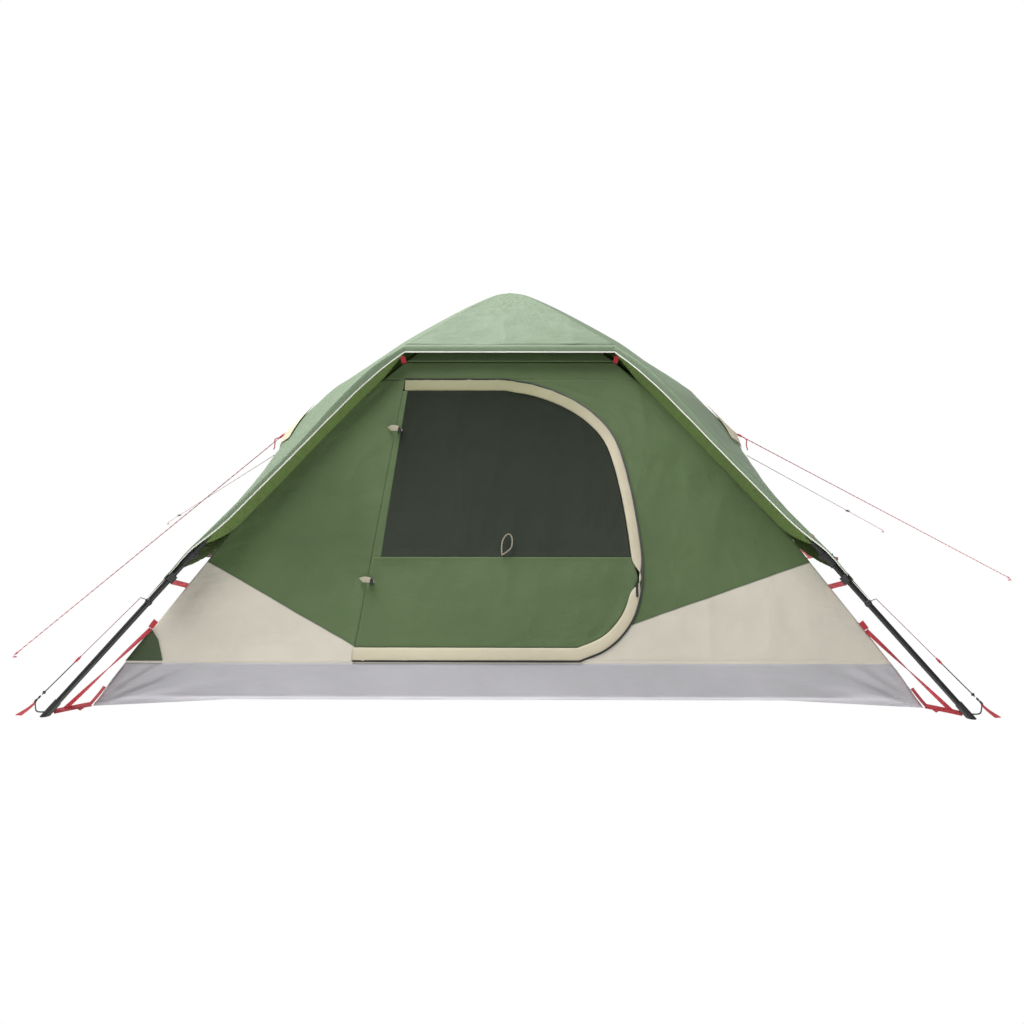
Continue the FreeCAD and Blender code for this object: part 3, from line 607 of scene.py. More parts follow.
side_cloth = cloth("side_wall_cloth", wall_colour, beige_colour, side_beige, tone=0.22)
for name, low_share, high_share, seed in (("right_wall", 0.25, 0.5, 31), ("back_wall", 0.5, 0.75, 32),
                                          ("left_wall", 0.75, 1.0, 33)):
    z = np.linspace(tub_top, top_height, 110)[:, None]
    share = np.linspace(low_share, high_share - 1e-9, 130)[None, :]
    x, y = round_box(wall_half(z, 0), wall_half(z, 1), share)
    size = np.hypot(x, y)
    fade = np.sin(math.pi * (share - low_share) / (high_share - low_share)) ** 0.5
    out = creases(share * 9.0, z * 1.3, seed) * 0.006 * fade - 0.002
    points = np.stack([x + x / size * out, y + y / size * out, z + 0 * x], -1)
    wall = grid_mesh(name + "_cloth", points, 2.4, 1.25)
    wall.data.materials.append(side_cloth)
    thickened(wall, 0.0006)
    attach(wall, "root")
    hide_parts(name)
    wide, narrow = (2.57, 0.78) if name == "back_wall" else (2.14, 0.65)
    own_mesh(wall)

# Inner roof. The inner tent's top panels, four gores that meet under the hub,
# sewn from the same green cloth.
roof_cloth = cloth("inner_roof_cloth", wall_colour, tone=0.2)
roof_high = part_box("inner_roof")[1]
down = np.linspace(0.0, 1.0, 40)[:, None]
share = np.linspace(0.0, 1.0, 241)[None, :]
half = roof_high[0] * (1 - down) + 0.02 * down
deep = roof_high[1] * (1 - down) + 0.02 * down
x, y = round_box(half, deep, share)
z = top_height + 0.002 + (roof_high[2] - top_height - 0.003) * np.sin(down * math.pi / 2) + 0 * x
roof = grid_mesh("inner_roof_cloth", np.stack([x, y, z], -1), 2.8, 0.5)
roof.data.materials.append(roof_cloth)
thickened(roof, 0.0006)
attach(roof, "root")
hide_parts("inner_roof")
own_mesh(roof)

# Door. A D-shaped leaf sewn in along its left seam: solid green cloth below,
# a dark insect-mesh window above, and a green tape up the seam.
flap_width = 0.038
window_sill = 0.440
leaf_inset = flap_width + 0.002


def window_left(z):
    """The window's left edge, which leans away from the seam on its way down."""
    return seam_x(z) + 0.016 + 0.015 * (door_top - z) / (door_top - window_sill)


def leaf_left(z):
    """The leaf's hinge edge, just clear of the wall's."""
    return seam_x(z) + 0.0006


def leaf_right(z):
    """The leaf's free edge, which reaches out under the flap's pinch."""
    return free_x(z, leaf_inset) + 0.0235 * pinched(z)


panel_cloth = cloth("door_cloth", (0.092, 0.147, 0.053), tone=0.16)
panel = front_panel("door_panel_cloth", leaf_left, leaf_right, door_sill + leaf_inset, window_sill, 150, 60,
                    41,
                    puff=0.0055)
tape = front_panel("door_tape", leaf_left, window_left, window_sill, door_top - leaf_inset, 8, 110, 42,
                   puff=0.001)
leaf = joined("door_leaf_cloth", [panel, tape])
leaf.data.materials.append(panel_cloth)
thickened(leaf, 0.0006)
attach(leaf, "door")
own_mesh(leaf)
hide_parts("door_panel")

mesh_finish = Finish("insect_mesh", Roughness=0.9, Specular_IOR_Level=0.2)
flat, (u, v, w) = mesh_finish.place("UV")
whole, (x, y, z) = mesh_finish.place()
holes = (u * (2 * math.pi / 0.0016)).math("SINE") * (v * (2 * math.pi / 0.0016)).math("SINE")
dim = mesh_finish.noise(whole, 3.0, 4.0)
# painted shade: the net goes from a lighter green low down to near black at the top, where the awning shades
# it
painted_shade_net = mesh_finish.mix((z - 0.52) * 1.9, shade((0.052, 0.064, 0.046)), shade((0.018, 0.027, 0.014)))
net = mesh_finish.mix(dim * 0.35, painted_shade_net, shade((0.006, 0.009, 0.006)))
mesh_finish.feed(Base_Color=mesh_finish.mix((holes > 0.25) * 0.5, net, shade((0.004, 0.006, 0.004))))
mesh_finish.bump(holes * 0.2 + mesh_finish.noise(flat, 9.0, 5.0) * 5.0, 0.0016, 0.8)
window = front_panel("door_window_mesh", window_left, leaf_right, window_sill, door_top - leaf_inset, 140,
                     110, 43,
                     puff=0.006)
window.data.materials.append(mesh_finish.material)
thickened(window, 0.0006)
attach(window, "door")
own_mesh(window)
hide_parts("door_mesh")

# Zip and its flap. A black coil zip runs round the door's free edge, and a
# cream storm flap is sewn over it; the flap is pinched in where two lengths meet.
cream_colour = (0.62, 0.56, 0.41)


def painted_awning_shade(finish, x, y, z):
    """Painted shade: towards the door's head the flap's cloth is mixed with a dark olive that stands for the
    awning's shade.
    """
    return ((z - 0.82) * 4.5).math("MAXIMUM", 0.0).math("MINIMUM", 0.8)


# the second colour, a dark olive, is painted shade under the awning
cream_cloth = cloth("cream_flap_cloth", cream_colour, (0.27, 0.28, 0.13), painted_awning_shade, tone=0.16, rough=0.65)


def flap_strip(name, outer, inner, seed, lift=0.004):
    """A ribbon between two outlines in the wall's plane: it stands off the wall
    by a half sine across its width, with creases square to its length."""
    across = np.linspace(0.0, 1.0, 9)[None, :, None]
    flat = outer[:, None, :] * (1 - across) + inner[:, None, :] * across
    steps = np.linalg.norm(np.diff(outer, axis=0), axis=1)
    along = np.concatenate([[0.0], np.cumsum(steps)])[:, None]
    share = np.linspace(0.0, 1.0, 9)[None, :]
    pucker = creases(along, share * 0.04, seed, spread=0.5, longest=0.12, shortest=0.02)
    out = 0.0012 + lift * np.sin(math.pi * share) ** 0.7 + 0.0016 * pucker
    x, z = flat[:, :, 0], flat[:, :, 1]
    points = np.stack([x, -wall_half(z, 1) - front_normal[0] * out, z + front_normal[1] * out], -1)
    return grid_mesh(name, points[:, ::-1], 0.038, float(along[-1, 0]))


def spaced(points, count):
    """A line of points, evenly spaced along itself."""
    steps = np.linalg.norm(np.diff(points, axis=0), axis=1)
    along = np.concatenate([[0.0], np.cumsum(steps)])
    even = np.linspace(0.0, along[-1], count)
    return np.stack([np.interp(even, along, points[:, k]) for k in range(2)], -1)


flap_outer = spaced(np.concatenate([[[seam_low, door_sill - 0.004]], free_edge, [[seam_high, door_top]]]),
                    420)
run = np.gradient(flap_outer, axis=0)
run /= np.linalg.norm(run, axis=1)[:, None]
pinch_at = flap_outer[np.argmin(np.abs(flap_outer[:, 1] - pinch_height) + (flap_outer[:, 0] < 0.3))]
from_pinch = np.linalg.norm(flap_outer - pinch_at, axis=1)
narrowing = 1.0 - 0.88 * np.exp(-(from_pinch / 0.035) ** 2)
flap_inner = flap_outer + flap_width * narrowing[:, None] * np.stack([-run[:, 1], run[:, 0]], -1)
flap_outer = flap_outer + 0.012 * (1 - narrowing)[:, None] * np.stack([-run[:, 1], run[:, 0]], -1)
flap_inner[:, 1] = np.clip(flap_inner[:, 1], door_sill + flap_width, door_top - flap_width)
zip_route = spaced(np.concatenate([[[seam_low, door_sill]], free_edge, [[seam_high, door_top]]]), 420)
zip_line = np.stack([zip_route[:, 0], -wall_half(zip_route[:, 1], 1) - 0.0022, zip_route[:, 1]], -1)
coil_finish = Finish("zip_coil_black", Roughness=0.5)
flat, (u, v, w) = coil_finish.place("UV")
teeth = (v * (2 * math.pi / 0.003)).math("SINE")
coil_finish.feed(Base_Color=coil_finish.mix(teeth * 0.3 + 0.4, shade((0.012, 0.012, 0.012)),
                                            shade((0.05, 0.05, 0.05))))
coil_finish.bump(teeth, 0.0006)
coil = sweep("door_zip_coil", zip_line, 0.0035, 0.0012, up=(0, -1, 0.6), square=0.3)
coil.data.materials.append(coil_finish.material)
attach(coil, "root")
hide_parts("door_zip")
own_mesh(coil)
flap = flap_strip("door_flap_cloth", flap_outer, flap_inner, 51)
flap.data.materials.append(cream_cloth)
thickened(flap, 0.001)
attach(flap, "root")
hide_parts("door_flap")
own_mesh(flap)

# Fly sheet. Coated polyester in sage green, laid over hub and legs:
# two sides and a back between the legs, and a short awning over the door.
leg_rows = np.array([(1.1475, 0.9563, 0.4125), (1.077, 0.8975, 0.4935), (0.87, 0.725, 0.6973),
                     (0.75, 0.625, 0.8172), (0.63, 0.525, 0.950), (0.51, 0.425, 1.0642),
                     (0.39, 0.325, 1.1417),
                     (0.195, 0.1625, 1.2495), (0.0675, 0.0563, 1.3082), (0.0, 0.0, 1.322)])
side_rows = np.array([(1.158, 0.318), (1.093, 0.430), (0.938, 0.680), (0.873, 0.756), (0.735, 0.921),
                      (0.600, 1.010), (0.420, 1.125), (0.210, 1.240), (0.070, 1.308), (0.0, 1.322)])
depth_ratio = 1.25 / 1.5


def along_rows(rows, place):
    """A smooth line through the rows: cubic runs whose slopes at each row are
    half the step from the row before to the row after, shortened a little."""
    slope = np.gradient(rows, axis=0) * 0.9
    k = np.clip(np.floor(place).astype(int), 0, len(rows) - 2)
    t = (place - k)[:, None]
    a, b = rows[k], rows[k + 1]
    return ((2 * t ** 3 - 3 * t ** 2 + 1) * a + (t ** 3 - 2 * t ** 2 + t) * slope[k]
            + (3 * t ** 2 - 2 * t ** 3) * b + (t ** 3 - t ** 2) * slope[k + 1])


guy_row = 3.0  # the row of both lines where the guy line pulls
guy_pull = (0.79, 0.61)  # outwards and up, the way it draws the cloth


def guy_cone(side, place):
    """How far the guy line draws the cloth off the panel: a cone, one minus the
    distance from the guy point as a share of its radius, along and across."""
    return 0.026 * np.clip(1 - np.hypot(side / 0.09, (place - guy_row) / 0.85), 0, 1)


def fly_panel(name, facing, first, seed, ratio=1.0, flat_edge=False):
    """A panel between two legs. Across it, the cloth goes from the leg's line to
    the middle line by one minus a power of the distance from the middle: the
    power is low at the guy point, where the cloth is drawn to a ridge."""
    place = np.linspace(first, 9.0, 110 if first == 0 else 50)
    leg = along_rows(leg_rows, place)
    middle = along_rows(side_rows, place) * (ratio, 1.0)
    if flat_edge:
        middle = leg[:, 1:3].copy()
    if facing in "-x+x":
        width, reach = leg[:, 1], leg[:, 0]
    else:
        width, reach = leg[:, 0], leg[:, 1]
    across = np.linspace(-1.0, 1.0, 121)[None, :]
    power = (1.9 - 0.45 * np.exp(-(place / 0.8) ** 2) - 0.6 * np.exp(-((place - guy_row) / 1.2) ** 2))[:,
                                                                                                       None]
    blend = 1.0 - np.abs(across) ** power
    out = reach[:, None] + (middle[:, :1] - reach[:, None]) * blend
    up = leg[:, 2:3] + (middle[:, 1:2] - leg[:, 2:3]) * blend
    side = across * width[:, None]
    calm = (np.sqrt(1 - across ** 2) * np.clip((9.0 - place[:, None]) / 1.5, 0, 1))
    fold = creases(side, place[:, None] * 0.16, seed, lean=0.9, spread=0.9) * 0.006 * calm
    drawn = guy_cone(side, place[:, None]) if facing in "-x+x" else 0.0
    out = out + fold * 0.6 + drawn * guy_pull[0]
    up = up + fold * 0.8 + drawn * guy_pull[1]
    if facing == "-x":
        points = np.stack([-out, -side, up], -1)
    elif facing == "+x":
        points = np.stack([out, side, up], -1)
    elif facing == "+y":
        points = np.stack([-side, out, up], -1)
    else:
        points = np.stack([side, -out, up], -1)
    return grid_mesh(name, points, 2.0, 1.5)


def fly_tail(name, side_x, side_y, facing):
    """A corner tail: a narrow triangle of cloth that tapers down the outside of
    the leg from the hem to the corner's cord."""
    corner = leg_rows[0] * (side_x, side_y, 1)
    tip = np.array([1.217 * side_x, 1.014 * side_y, 0.333])
    if facing == "x":
        hem = np.array([side_rows[0][0] * side_x, 0.0, side_rows[0][1]])
    else:
        hem = np.array([0.0, side_rows[0][0] * depth_ratio * side_y, side_rows[0][1]])
    beside = corner + (hem - corner) / np.linalg.norm(hem - corner) * 0.075
    along = np.linspace(0.0, 1.0, 12)[:, None, None]
    wide = np.linspace(0.0, 1.0, 6)[None, :, None]
    taper = (1 - along) ** 1.4
    points = corner * (1 - along) + tip * along + (beside - corner) * wide * taper
    if side_x * side_y * (1 if facing == "x" else -1) > 0:
        points = points[:, ::-1]
    return grid_mesh(name, points[::-1], 0.075, 0.1)


sage = (0.200, 0.278, 0.172)
fly_cloth = cloth("fly_cloth", sage, tone=0.12, rough=0.5, crease=0.5)
# painted shade and light: the fly's inside is a darker, yellower green than its outside, standing for the
# shade under the fly and daylight through the cloth
shaded_fly_inside = cloth("fly_inside_cloth", (0.105, 0.168, 0.038), tone=0.15, rough=0.7)
# painted light: a faint green emission on the inside stands for daylight coming through the thin cloth
painted_light_shader = shaded_fly_inside.node_tree.nodes["Principled BSDF"]
painted_light_shader.inputs["Emission Color"].default_value = (0.6, 1.0, 0.2, 1.0)
painted_light_shader.inputs["Emission Strength"].default_value = 0.015
# the front edge turns down over the rods, and a facing inside it hides them
edge_place = np.concatenate([np.linspace(0.0, 6.0, 150), np.full(60, 6.0), np.linspace(6.0, 0.0, 150)])
edge_side = np.concatenate([np.full(150, -1.0), np.linspace(-1.0, 1.0, 62)[1:-1], np.full(150, 1.0)])
edge_top = along_rows(leg_rows, edge_place)
edge_top = np.stack([edge_top[:, 0] * edge_side, -edge_top[:, 1], edge_top[:, 2]], -1)
over_rod = np.interp(edge_place, np.arange(10), [0.022, 0.025, 0.022, 0.022, 0.035, 0.035, 0.020, 0.018,
                                                 0.028, 0.0])
cover = np.clip((edge_place - 0.9) / 0.7, 0, 1)
cover = cover * cover * (3 - 2 * cover)
drop = 0.004 + (over_rod + 0.001) * cover
edge_low = edge_top + np.stack([np.zeros(360), -0.005 - 0.013 * cover, -drop], -1)


def between_lines(name, first, second, bend, width):
    """A strip between two lines, bowed out by half a sine."""
    across = np.linspace(0.0, 1.0, 7)[None, :, None]
    points = first[:, None, :] * (1 - across) + second[:, None, :] * across
    points = points + np.asarray(bend, float) * np.sin(math.pi * across)
    return grid_mesh(name, points, width, 3.6)


front_turn = between_lines("fly_front_turn", edge_top, edge_low, (0.0, -0.003, 0.004), 0.04)
fly_parts = [front_turn, fly_panel("fly_left", "-x", 0, 61), fly_panel("fly_right", "+x", 0, 62),
             fly_panel("fly_back", "+y", 0, 63, ratio=depth_ratio),
             fly_panel("fly_awning", "-y", 6, 64, flat_edge=True)]
for side_x in (-1, 1):
    for side_y in (-1, 1):
        fly_parts.append(fly_tail("fly_tail", side_x, side_y, "x"))
    fly_parts.append(fly_tail("fly_tail", side_x, 1, "y"))
fly = joined("fly_cloth", fly_parts)
fly.data.materials.append(fly_cloth)
thickened(fly, 0.0009, shaded_fly_inside)
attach(fly, "root")
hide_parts("fly_sheet")
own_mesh(fly)

# Facing. A strip of the fly's own cloth sewn inside each front edge, under the
# rods, from the lower elbow to the awning's corner.
for side in (-1, 1):
    kept = (edge_side == side) & (edge_place > 0.95)
    facing_top = edge_low[kept] + np.array([0.0, 0.0015, 0.0])
    width = (cover[kept] * np.sin(np.clip((6.02 - edge_place[kept]) * 1.2, 0, math.pi / 2)))[:, None]
    facing_low = facing_top + np.array([-side * 0.014, 0.050, -0.042]) * (0.05 + width)
    facing = between_lines("fly_facing_" + ("left" if side < 0 else "right"), facing_top, facing_low,
                           (0.0, 0.0, -0.002), 0.045)
    # the facing takes the fly's inside finish, with its painted shade
    facing.data.materials.append(shaded_fly_inside)
    thickened(facing, 0.0009)
    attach(facing, "root")
    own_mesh(facing)

# Piping. A white cord sewn into the awning's edge and down both front edges
# of the fly, along the legs.
piping_finish = Finish("white_piping", Roughness=0.6, Sheen_Weight=0.2)
flat, (u, v, w) = piping_finish.place("UV")
stitch = (v * (2 * math.pi / 0.006)).math("SINE")
piping_finish.feed(Base_Color=piping_finish.mix(stitch * 0.08 + 0.08, shade((0.86, 0.86, 0.80)),
                                                shade((0.5, 0.5, 0.42))))
piping_finish.bump(stitch, 0.0003)
edge_line = edge_low + np.array([0.0, -0.0015, -0.001])
piping_radius = 0.0008 + 0.0016 * np.clip(edge_place, 0.0, 1.0)
piping = sweep("fly_edge_piping", edge_line, piping_radius, piping_radius)
piping.data.materials.append(piping_finish.material)
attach(piping, "root")
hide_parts("fly_piping")
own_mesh(piping)

# Guy patches. Doubled beige cloth sewn round each side's guy point, drawn to
# a ridge by the cord.
beige_cloth = cloth("beige_patch_cloth", (0.66, 0.60, 0.43), tone=0.1)
for side in (-1, 1):
    hand = "right" if side > 0 else "left"
    place = np.linspace(2.28, 3.72, 31)
    middle = along_rows(side_rows, place)
    leg = along_rows(leg_rows, place)
    wide = (0.078 * np.clip(1 - np.abs(place - guy_row) / 0.74, 0, 1) + 0.002)[:, None]
    across = np.linspace(-1.0, 1.0, 25)[None, :] * wide
    power = (1.9 - 0.6 * np.exp(-((place - guy_row) / 1.2) ** 2))[:, None]
    blend = 1 - np.abs(across / leg[:, 1:2]) ** power
    drawn = guy_cone(across, place[:, None])
    out = leg[:, :1] + (middle[:, :1] - leg[:, :1]) * blend + 0.0025 + drawn * guy_pull[0]
    up = leg[:, 2:3] + (middle[:, 1:2] - leg[:, 2:3]) * blend + 0.002 + drawn * guy_pull[1]
    points = np.stack([side * out, across * side, up], -1)
    patch = grid_mesh("guy_patch_" + hand, points, 0.15, 0.25)
    patch.data.materials.append(beige_cloth)
    thickened(patch, 0.0012)
    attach(patch, "root")
    if side < 0:
        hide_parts("guy_patches")
    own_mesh(patch)

# Frame. Glass-fibre rods and coated steel tubes in satin black, joined by
# moulded plastic elbows and hub; the hub's pins are plain steel.


def metal_or_plastic(name, colour, rough, metallic=0.0, grain=0.0003, coat=0.0):
    """A hard finish with a fine grain, a slow change of roughness and worn,
    lighter scuffs from cloud noise."""
    finish = Finish(name, Metallic=metallic, Coat_Weight=coat)
    whole = finish.place()[0]
    cloud = finish.noise(whole, 60.0, 4.0, 0.6)
    scuff = (finish.noise(whole, 160.0, 3.0, 0.7) > 0.66) * 0.25
    finish.feed(Base_Color=finish.mix(scuff, shade(colour), shade([c * 2.5 + 0.03 for c in colour])),
                Roughness=cloud * 0.2 + (rough - 0.1))
    finish.bump(finish.noise(whole, 700.0, 2.0), grain, 0.6)
    return finish.material


slot_finish = {
    "black_rod": metal_or_plastic("glass_fibre_rod", (0.012, 0.012, 0.013), 0.38, coat=0.3),
    "black_tube": metal_or_plastic("coated_steel_tube", (0.014, 0.014, 0.015), 0.42),
    "black_plastic": metal_or_plastic("moulded_black_plastic", (0.018, 0.018, 0.019), 0.55),
    "steel": metal_or_plastic("plain_steel", (0.30, 0.30, 0.31), 0.35, metallic=1.0),
    "zip_black": metal_or_plastic("zip_coil", (0.02, 0.02, 0.02), 0.5),
}
slots = {entry["node"]: entry["material_slot"] for entry in frame["record"]["subparts"]}
for node, slot in slots.items():
    if slot in slot_finish:
        holder = frame["nodes"][node]
        holder.data.materials.clear()
        holder.data.materials.append(slot_finish[slot])

# Webbing and corner fixings. Red polyester webbing ties the feet to the floor
# and the walls; a thin cord with a hook holds each fly corner to its peg loop.


def webbing_finish(name, colour):
    """Webbing: herringbone ribs across the strap, as a sine along it shifted by a fold at its middle,
    darker along the ribs and in patches from cloud noise."""
    finish = Finish(name, Roughness=0.7, Sheen_Weight=0.3)
    flat, (turn, along, w) = finish.place("UV")
    rib = (along * (2 * math.pi / 0.0024) + (turn * 12.0).math("PINGPONG", 1.0) * 3.0).math("SINE")
    tone = rib * 0.12 + finish.noise(flat, 30.0) * 0.25
    finish.feed(Base_Color=finish.mix(tone, shade(colour), shade(colour, 0.35)))
    finish.bump(rib, 0.0005)
    return finish.material


red_web = webbing_finish("red_webbing", (0.56, 0.012, 0.030))
corner_braid = braid("corner_cord_braid", (0.36, 0.10, 0.12), (0.30, 0.012, 0.03), 0.012)
elastic = braid("black_elastic", (0.012, 0.012, 0.013), (0.05, 0.05, 0.052), 0.006)


def ribbon(name, points, half_width, up, twist=0.0, finish=red_web, thick=0.0008):
    """A length of webbing along a smooth line, nearly rectangular in section."""
    band = sweep(name, route(points), half_width, thick, up=up, twist=twist, square=0.35, sides=16)
    band.data.materials.append(finish)
    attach(band, "root")
    return band


hook_wire_radius = 0.002


def corner_name(side_x, side_y):
    return ("front" if side_y < 0 else "back") + ("_left" if side_x < 0 else "_right")


wall_bands, floor_bands, loop_bands, corner_lines, hook_wires, tab_bands = [], [], [], [], [], []
for side_x in (-1, 1):
    for side_y in (-1, 1):
        corner = corner_name(side_x, side_y)
        to_corner = np.array([side_x, side_y, 1.0])

        def at(x, y, z):
            return np.array([x, y, z]) * to_corner

        top = at(1.209, 0.998, 0.226)
        low = at(1.452, 1.204, 0.007)
        wall_bands.append(ribbon("wall_strap_" + corner, [top, top * 0.7 + low * 0.3,
                                                          top * 0.35 + low * 0.65, low],
                                 0.0072, (0, side_y, 0.3), twist=side_x * 2.6, thick=0.0014))
        wall_bands.append(ribbon("wall_strap_sewn_" + corner,
                                 [at(1.209, 1.0, 0.230), at(1.203, 0.992, 0.240),
                                                               at(1.193, 0.985, 0.252)],
                                 0.009, (0, side_y, 0.3)))
        floor_bands.append(ribbon("floor_strap_" + corner,
                                  [at(1.478, 1.231, 0.009), at(1.43, 1.192, 0.010), at(1.379, 1.150, 0.009)],
                                  0.0092, (0, side_y, 1)))
        floor_bands.append(ribbon("floor_strap_end_" + corner,
                                  [at(1.395, 1.163, 0.010), at(1.402, 1.176, 0.007),
                                   at(1.409, 1.190, 0.003)],
                                  0.0080, (0, side_y, 1)))
        floor_bands.append(ribbon("floor_strap_foot_" + corner,
                                  [at(1.385, 1.155, 0.006), at(1.366, 1.140, 0.024),
                                   at(1.340, 1.118, 0.060)],
                                  0.0085, (side_x, side_y, 0.2)))
        tab_bands.append(ribbon("clip_tab_" + corner, [at(1.142, 0.951, 0.379), at(1.122, 0.922, 0.366),
                                                       at(1.103, 0.894, 0.352)], 0.010, (0, side_y, 0)))
        tab_bands.append(ribbon("roof_tab_" + corner, [at(0.398, 0.335, 1.100), at(0.397, 0.334, 1.088),
                                                       at(0.392, 0.329, 1.074)], 0.009, (0, side_y, 0)))
        peg = [at(1.566, 1.142, 0.012), at(1.572, 1.17, 0.006), at(1.580, 1.215, 0.0035),
               at(1.586, 1.250, 0.003)]
        peg_line = route(peg)
        loop_band = sweep("peg_loop_" + corner, peg_line, np.linspace(0.004, 0.011, len(peg_line)), 0.0012,
                          square=0.35, sides=16)
        loop_band.data.materials.append(red_web)
        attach(loop_band, "root")
        loop_bands.append(loop_band)
        # the fly corner's cord: braid, then a red sleeve and black elastic, a knot and the hook
        start = at(1.236, 1.000, 0.337)
        end = at(1.566, 1.138, 0.016)
        line = route([start, start * 0.7 + end * 0.3, start * 0.3 + end * 0.7, start * 0.06 + end * 0.94])
        split = int(len(line) * 0.62)
        cord = sweep("corner_cord_" + corner, line, 0.0012, 0.0012)
        cord.data.materials.append(corner_braid)
        sleeve = knot_along("corner_sleeve_" + corner, line[split - 2], line[split + 3], 0.0045, red_braid)
        stretch = sweep("corner_elastic_" + corner, line[split:], 0.0019, 0.0019)
        stretch.data.materials.append(elastic)
        knot = knot_along("corner_knot_" + corner, start * 0.09 + end * 0.91, start * 0.07 + end * 0.93,
                          0.0060, elastic)
        length = float(np.linalg.norm(np.diff(line, axis=0), axis=1).sum())
        extras = [sleeve, stretch, knot]
        for piece in [cord] + extras:
            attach(piece, "root")
        corner_lines.append(cord)
        # the hook: an eye, then wire that bends back on itself through the peg loop
        down = (end - start) / np.linalg.norm(end - start)
        flat_side = np.cross(down, (0, 0, 1.0))
        flat_side /= np.linalg.norm(flat_side)
        eye_at = start * 0.035 + end * 0.965
        turn = np.linspace(0.0, 2 * math.pi, 24, endpoint=False)[:, None]
        eye_ring = eye_at + 0.006 * (down * np.cos(turn) + flat_side * np.sin(turn))
        eye = sweep("hook_eye_" + corner, eye_ring, 0.0019, 0.0019, up=np.cross(down, flat_side),
                    closed=True)
        bend = np.linspace(-0.5, 1.35, 24)[:, None] * math.pi
        curl_at = end - down * 0.001
        curl = curl_at + 0.0075 * (down * np.sin(bend) + flat_side * np.cos(bend))
        curl[:, 2] = np.maximum(curl[:, 2], hook_wire_radius)
        hook = sweep("hook_wire_" + corner, curl, hook_wire_radius, hook_wire_radius,
                     up=np.cross(down, flat_side))
        for piece in (eye, hook):
            piece.data.materials.append(slot_finish["black_rod"])
            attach(piece, "root")
        hook_wires.append(hook)
        ribbon("foot_cord_" + corner,
               [at(1.505, 1.243, 0.012), at(1.535, 1.225, 0.004), at(1.556, 1.175, 0.004),
                at(1.565, 1.146, 0.010)], 0.0022, (0, 0, 1), finish=elastic, thick=0.0022)
for node, bands in (("wall_straps", wall_bands), ("floor_straps", floor_bands), ("peg_loops", loop_bands),
                    ("corner_cords", corner_lines), ("corner_hooks", hook_wires),
                    ("webbing_tabs", tab_bands)):
    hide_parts(node)
for band in wall_bands + floor_bands + corner_lines + tab_bands:
    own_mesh(band)

# Door toggles and window tie. Cream elastic loops with a black toggle beside
# the hinge seam hold the rolled door, and a cord loop hangs on the window.
loop_web = webbing_finish("cream_elastic", (0.62, 0.56, 0.42))
toggle_loops = []
for height in (0.365, 0.845):
    spot = np.array([seam_x(height) - 0.021, -wall_half(height, 1), height])
    loop_line = [spot + (0.0, 0.001, 0.004), spot + (0.006, -0.012, 0.010), spot + (0.022, -0.015, 0.011),
                 spot + (0.036, -0.010, 0.004), spot + (0.036, -0.002, -0.002)]
    name = "low" if height < 0.5 else "high"
    toggle_loops.append(ribbon("toggle_loop_" + name, loop_line, 0.0100, (0, 1, 0), finish=loop_web))
    toggle = knot_along("toggle_bar_" + name, spot + (0.037, -0.009, -0.010), spot + (0.037, -0.013, 0.014),
                        0.006,
                        slot_finish["black_plastic"])
    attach(toggle, "root")
    for piece in (toggle, toggle_loops[-1]):
        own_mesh(piece)
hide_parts("door_toggles")
tie_x = np.array([-0.021, -0.027, -0.006, 0.013, 0.014, -0.002, -0.019])
tie_z = np.array([0.443, 0.478, 0.512, 0.505, 0.470, 0.455, 0.446])
tie_line = np.stack([tie_x, -wall_half(tie_z, 1) - 0.007, tie_z + 0.004], -1)
tie = sweep("window_tie_loop", route(tie_line), 0.0024, 0.0020)
tie.data.materials.append(braid("grey_tie_braid", (0.42, 0.38, 0.28), (0.20, 0.18, 0.13), 0.010))
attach(tie, "door")
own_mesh(tie)

# Corner patch and tube rings. A dark green reinforcing patch covers one front
# corner of the wall, and a black strap ring holds each fly corner to its tube.
patch_cloth = cloth("dark_patch_cloth", (0.045, 0.075, 0.026), tone=0.3)
patch = front_panel("corner_patch", lambda z: -wall_half(z) - 0.002,
                    lambda z: np.interp(z, [0.130, 0.194, 0.229], [-1.155, -1.180, -1.2125]), 0.1325, 0.229,
                    24, 24, 71, puff=0.002, depth=0.0035)
patch.data.materials.append(patch_cloth)
thickened(patch, 0.0008)
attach(patch, "root")
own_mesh(patch)
ring_from_elbow = 0.226
tube_slope = math.radians(40.4)
for side_x in (-1, 1):
    for side_y in (-1, 1):
        corner = corner_name(side_x, side_y)
        outwards = np.array([side_x * 1.5, side_y * 1.25, 0.0]) / math.hypot(1.5, 1.25)
        along = outwards * math.cos(tube_slope) - np.array([0.0, 0.0, math.sin(tube_slope)])
        centre = outwards * 1.40273 + np.array([0.0, 0.0, 0.46794]) + along * ring_from_elbow
        band_line = np.stack([centre - along * 0.008, centre - along * 0.003, centre + along * 0.003,
                              centre + along * 0.008])
        ring = sweep("tube_ring_" + corner, band_line, [0.0105, 0.0122, 0.0122, 0.0105],
                     [0.0105, 0.0122, 0.0122, 0.0105], sides=32)
        stub_up = np.cross(along, np.cross(outwards, (0, 0, 1.0)))
        stub = sweep("ring_stub_" + corner, route([centre - stub_up * 0.008, centre - stub_up * 0.018,
                                                   centre - stub_up * 0.028 + along * 0.006]), 0.006, 0.0012,
                     up=along, square=0.35)
        for piece in (ring, stub):
            piece.data.materials.append(slot_finish["black_plastic"])
            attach(piece, corner + "_lower")

# The guy lines' pieces each get a mesh of their own.
for piece in list(bpy.data.objects):
    if piece.name.startswith(("guy_cord_", "guy_loop_", "guy_knot_", "guy_start_knot_")):
        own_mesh(piece)

# Stage: a plain white floor and soft studio light from above, so that the
# awning shades the wall under it.
floor_finish = Finish("studio_floor", Roughness=1.0, Base_Color=shade((0.9, 0.9, 0.9)),
                      Emission_Color=shade((1.0, 1.0, 1.0)), Emission_Strength=0.9)
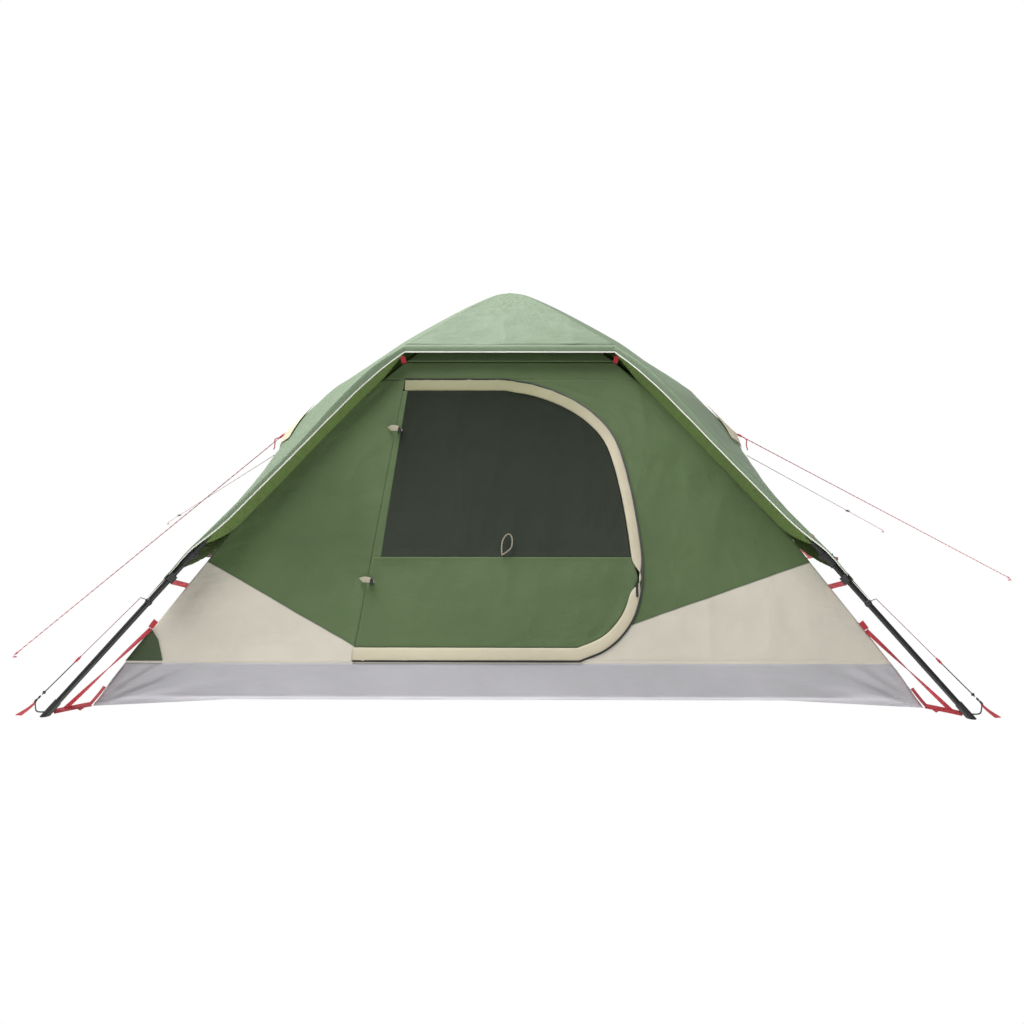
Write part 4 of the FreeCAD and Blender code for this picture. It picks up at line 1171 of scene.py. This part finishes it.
# seen by the camera it is plain white, and everything else sees it lit
seen_floor = floor_finish.node("ShaderNodeLightPath", out="Is Camera Ray")
lit_floor = Wire(floor_finish, floor_finish.shader.outputs[0])
shown = floor_finish.node("ShaderNodeMixShader", None,
                          {0: seen_floor, 1: lit_floor, 2: floor_finish.node("ShaderNodeEmission")})
floor_finish.tree.links.new(shown.socket, floor_finish.tree.nodes["Material Output"].inputs["Surface"])
reach = np.linspace(-60.0, 60.0, 3)
floor_grid = np.stack([np.broadcast_to(reach[None, :], (3, 3)), np.broadcast_to(reach[:, None], (3, 3)),
                       np.full((3, 3), -0.0005)], -1)
stage_floor = grid_mesh("studio_floor", floor_grid, 60.0, 60.0)
stage_floor.data.materials.append(floor_finish.material)
world = bpy.data.worlds.new("studio")
bpy.context.scene.world = world
world.use_nodes = True
sky = world.node_tree
seen = sky.nodes.new("ShaderNodeLightPath")
strength = sky.nodes.new("ShaderNodeMath")
strength.operation = "MULTIPLY_ADD"
sky_light = 0.22  # what lights the tent; the camera sees 1
strength.inputs[1].default_value = 1.0 - sky_light
strength.inputs[2].default_value = sky_light
sky.links.new(seen.outputs["Is Camera Ray"], strength.inputs[0])
sky.nodes["Background"].inputs["Color"].default_value = (1.0, 1.0, 1.0, 1.0)
sky.links.new(strength.outputs[0], sky.nodes["Background"].inputs["Strength"])


def soft_light(name, place, target, size, power):
    """A square area light that faces a point."""
    data = bpy.data.lights.new(name, "AREA")
    data.size = size
    data.energy = power
    lamp = bpy.data.objects.new(name, data)
    lamp.location = place
    toward = np.array(target, float) - np.array(place, float)
    lamp.rotation_euler = (math.acos(-toward[2] / np.linalg.norm(toward)), 0.0,
                           math.atan2(toward[1], toward[0]) - math.pi / 2)
    bpy.context.scene.collection.objects.link(lamp)


soft_light("overhead", (-2.0, 1.3, 6.0), (0.0, -0.2, 0.0), 4.0, 640.0)
soft_light("front_fill", (4.0, -7.5, 1.6), (0.2, 0.0, 0.3), 3.5, 95.0)
bpy.context.scene.view_settings.view_transform = "Standard"
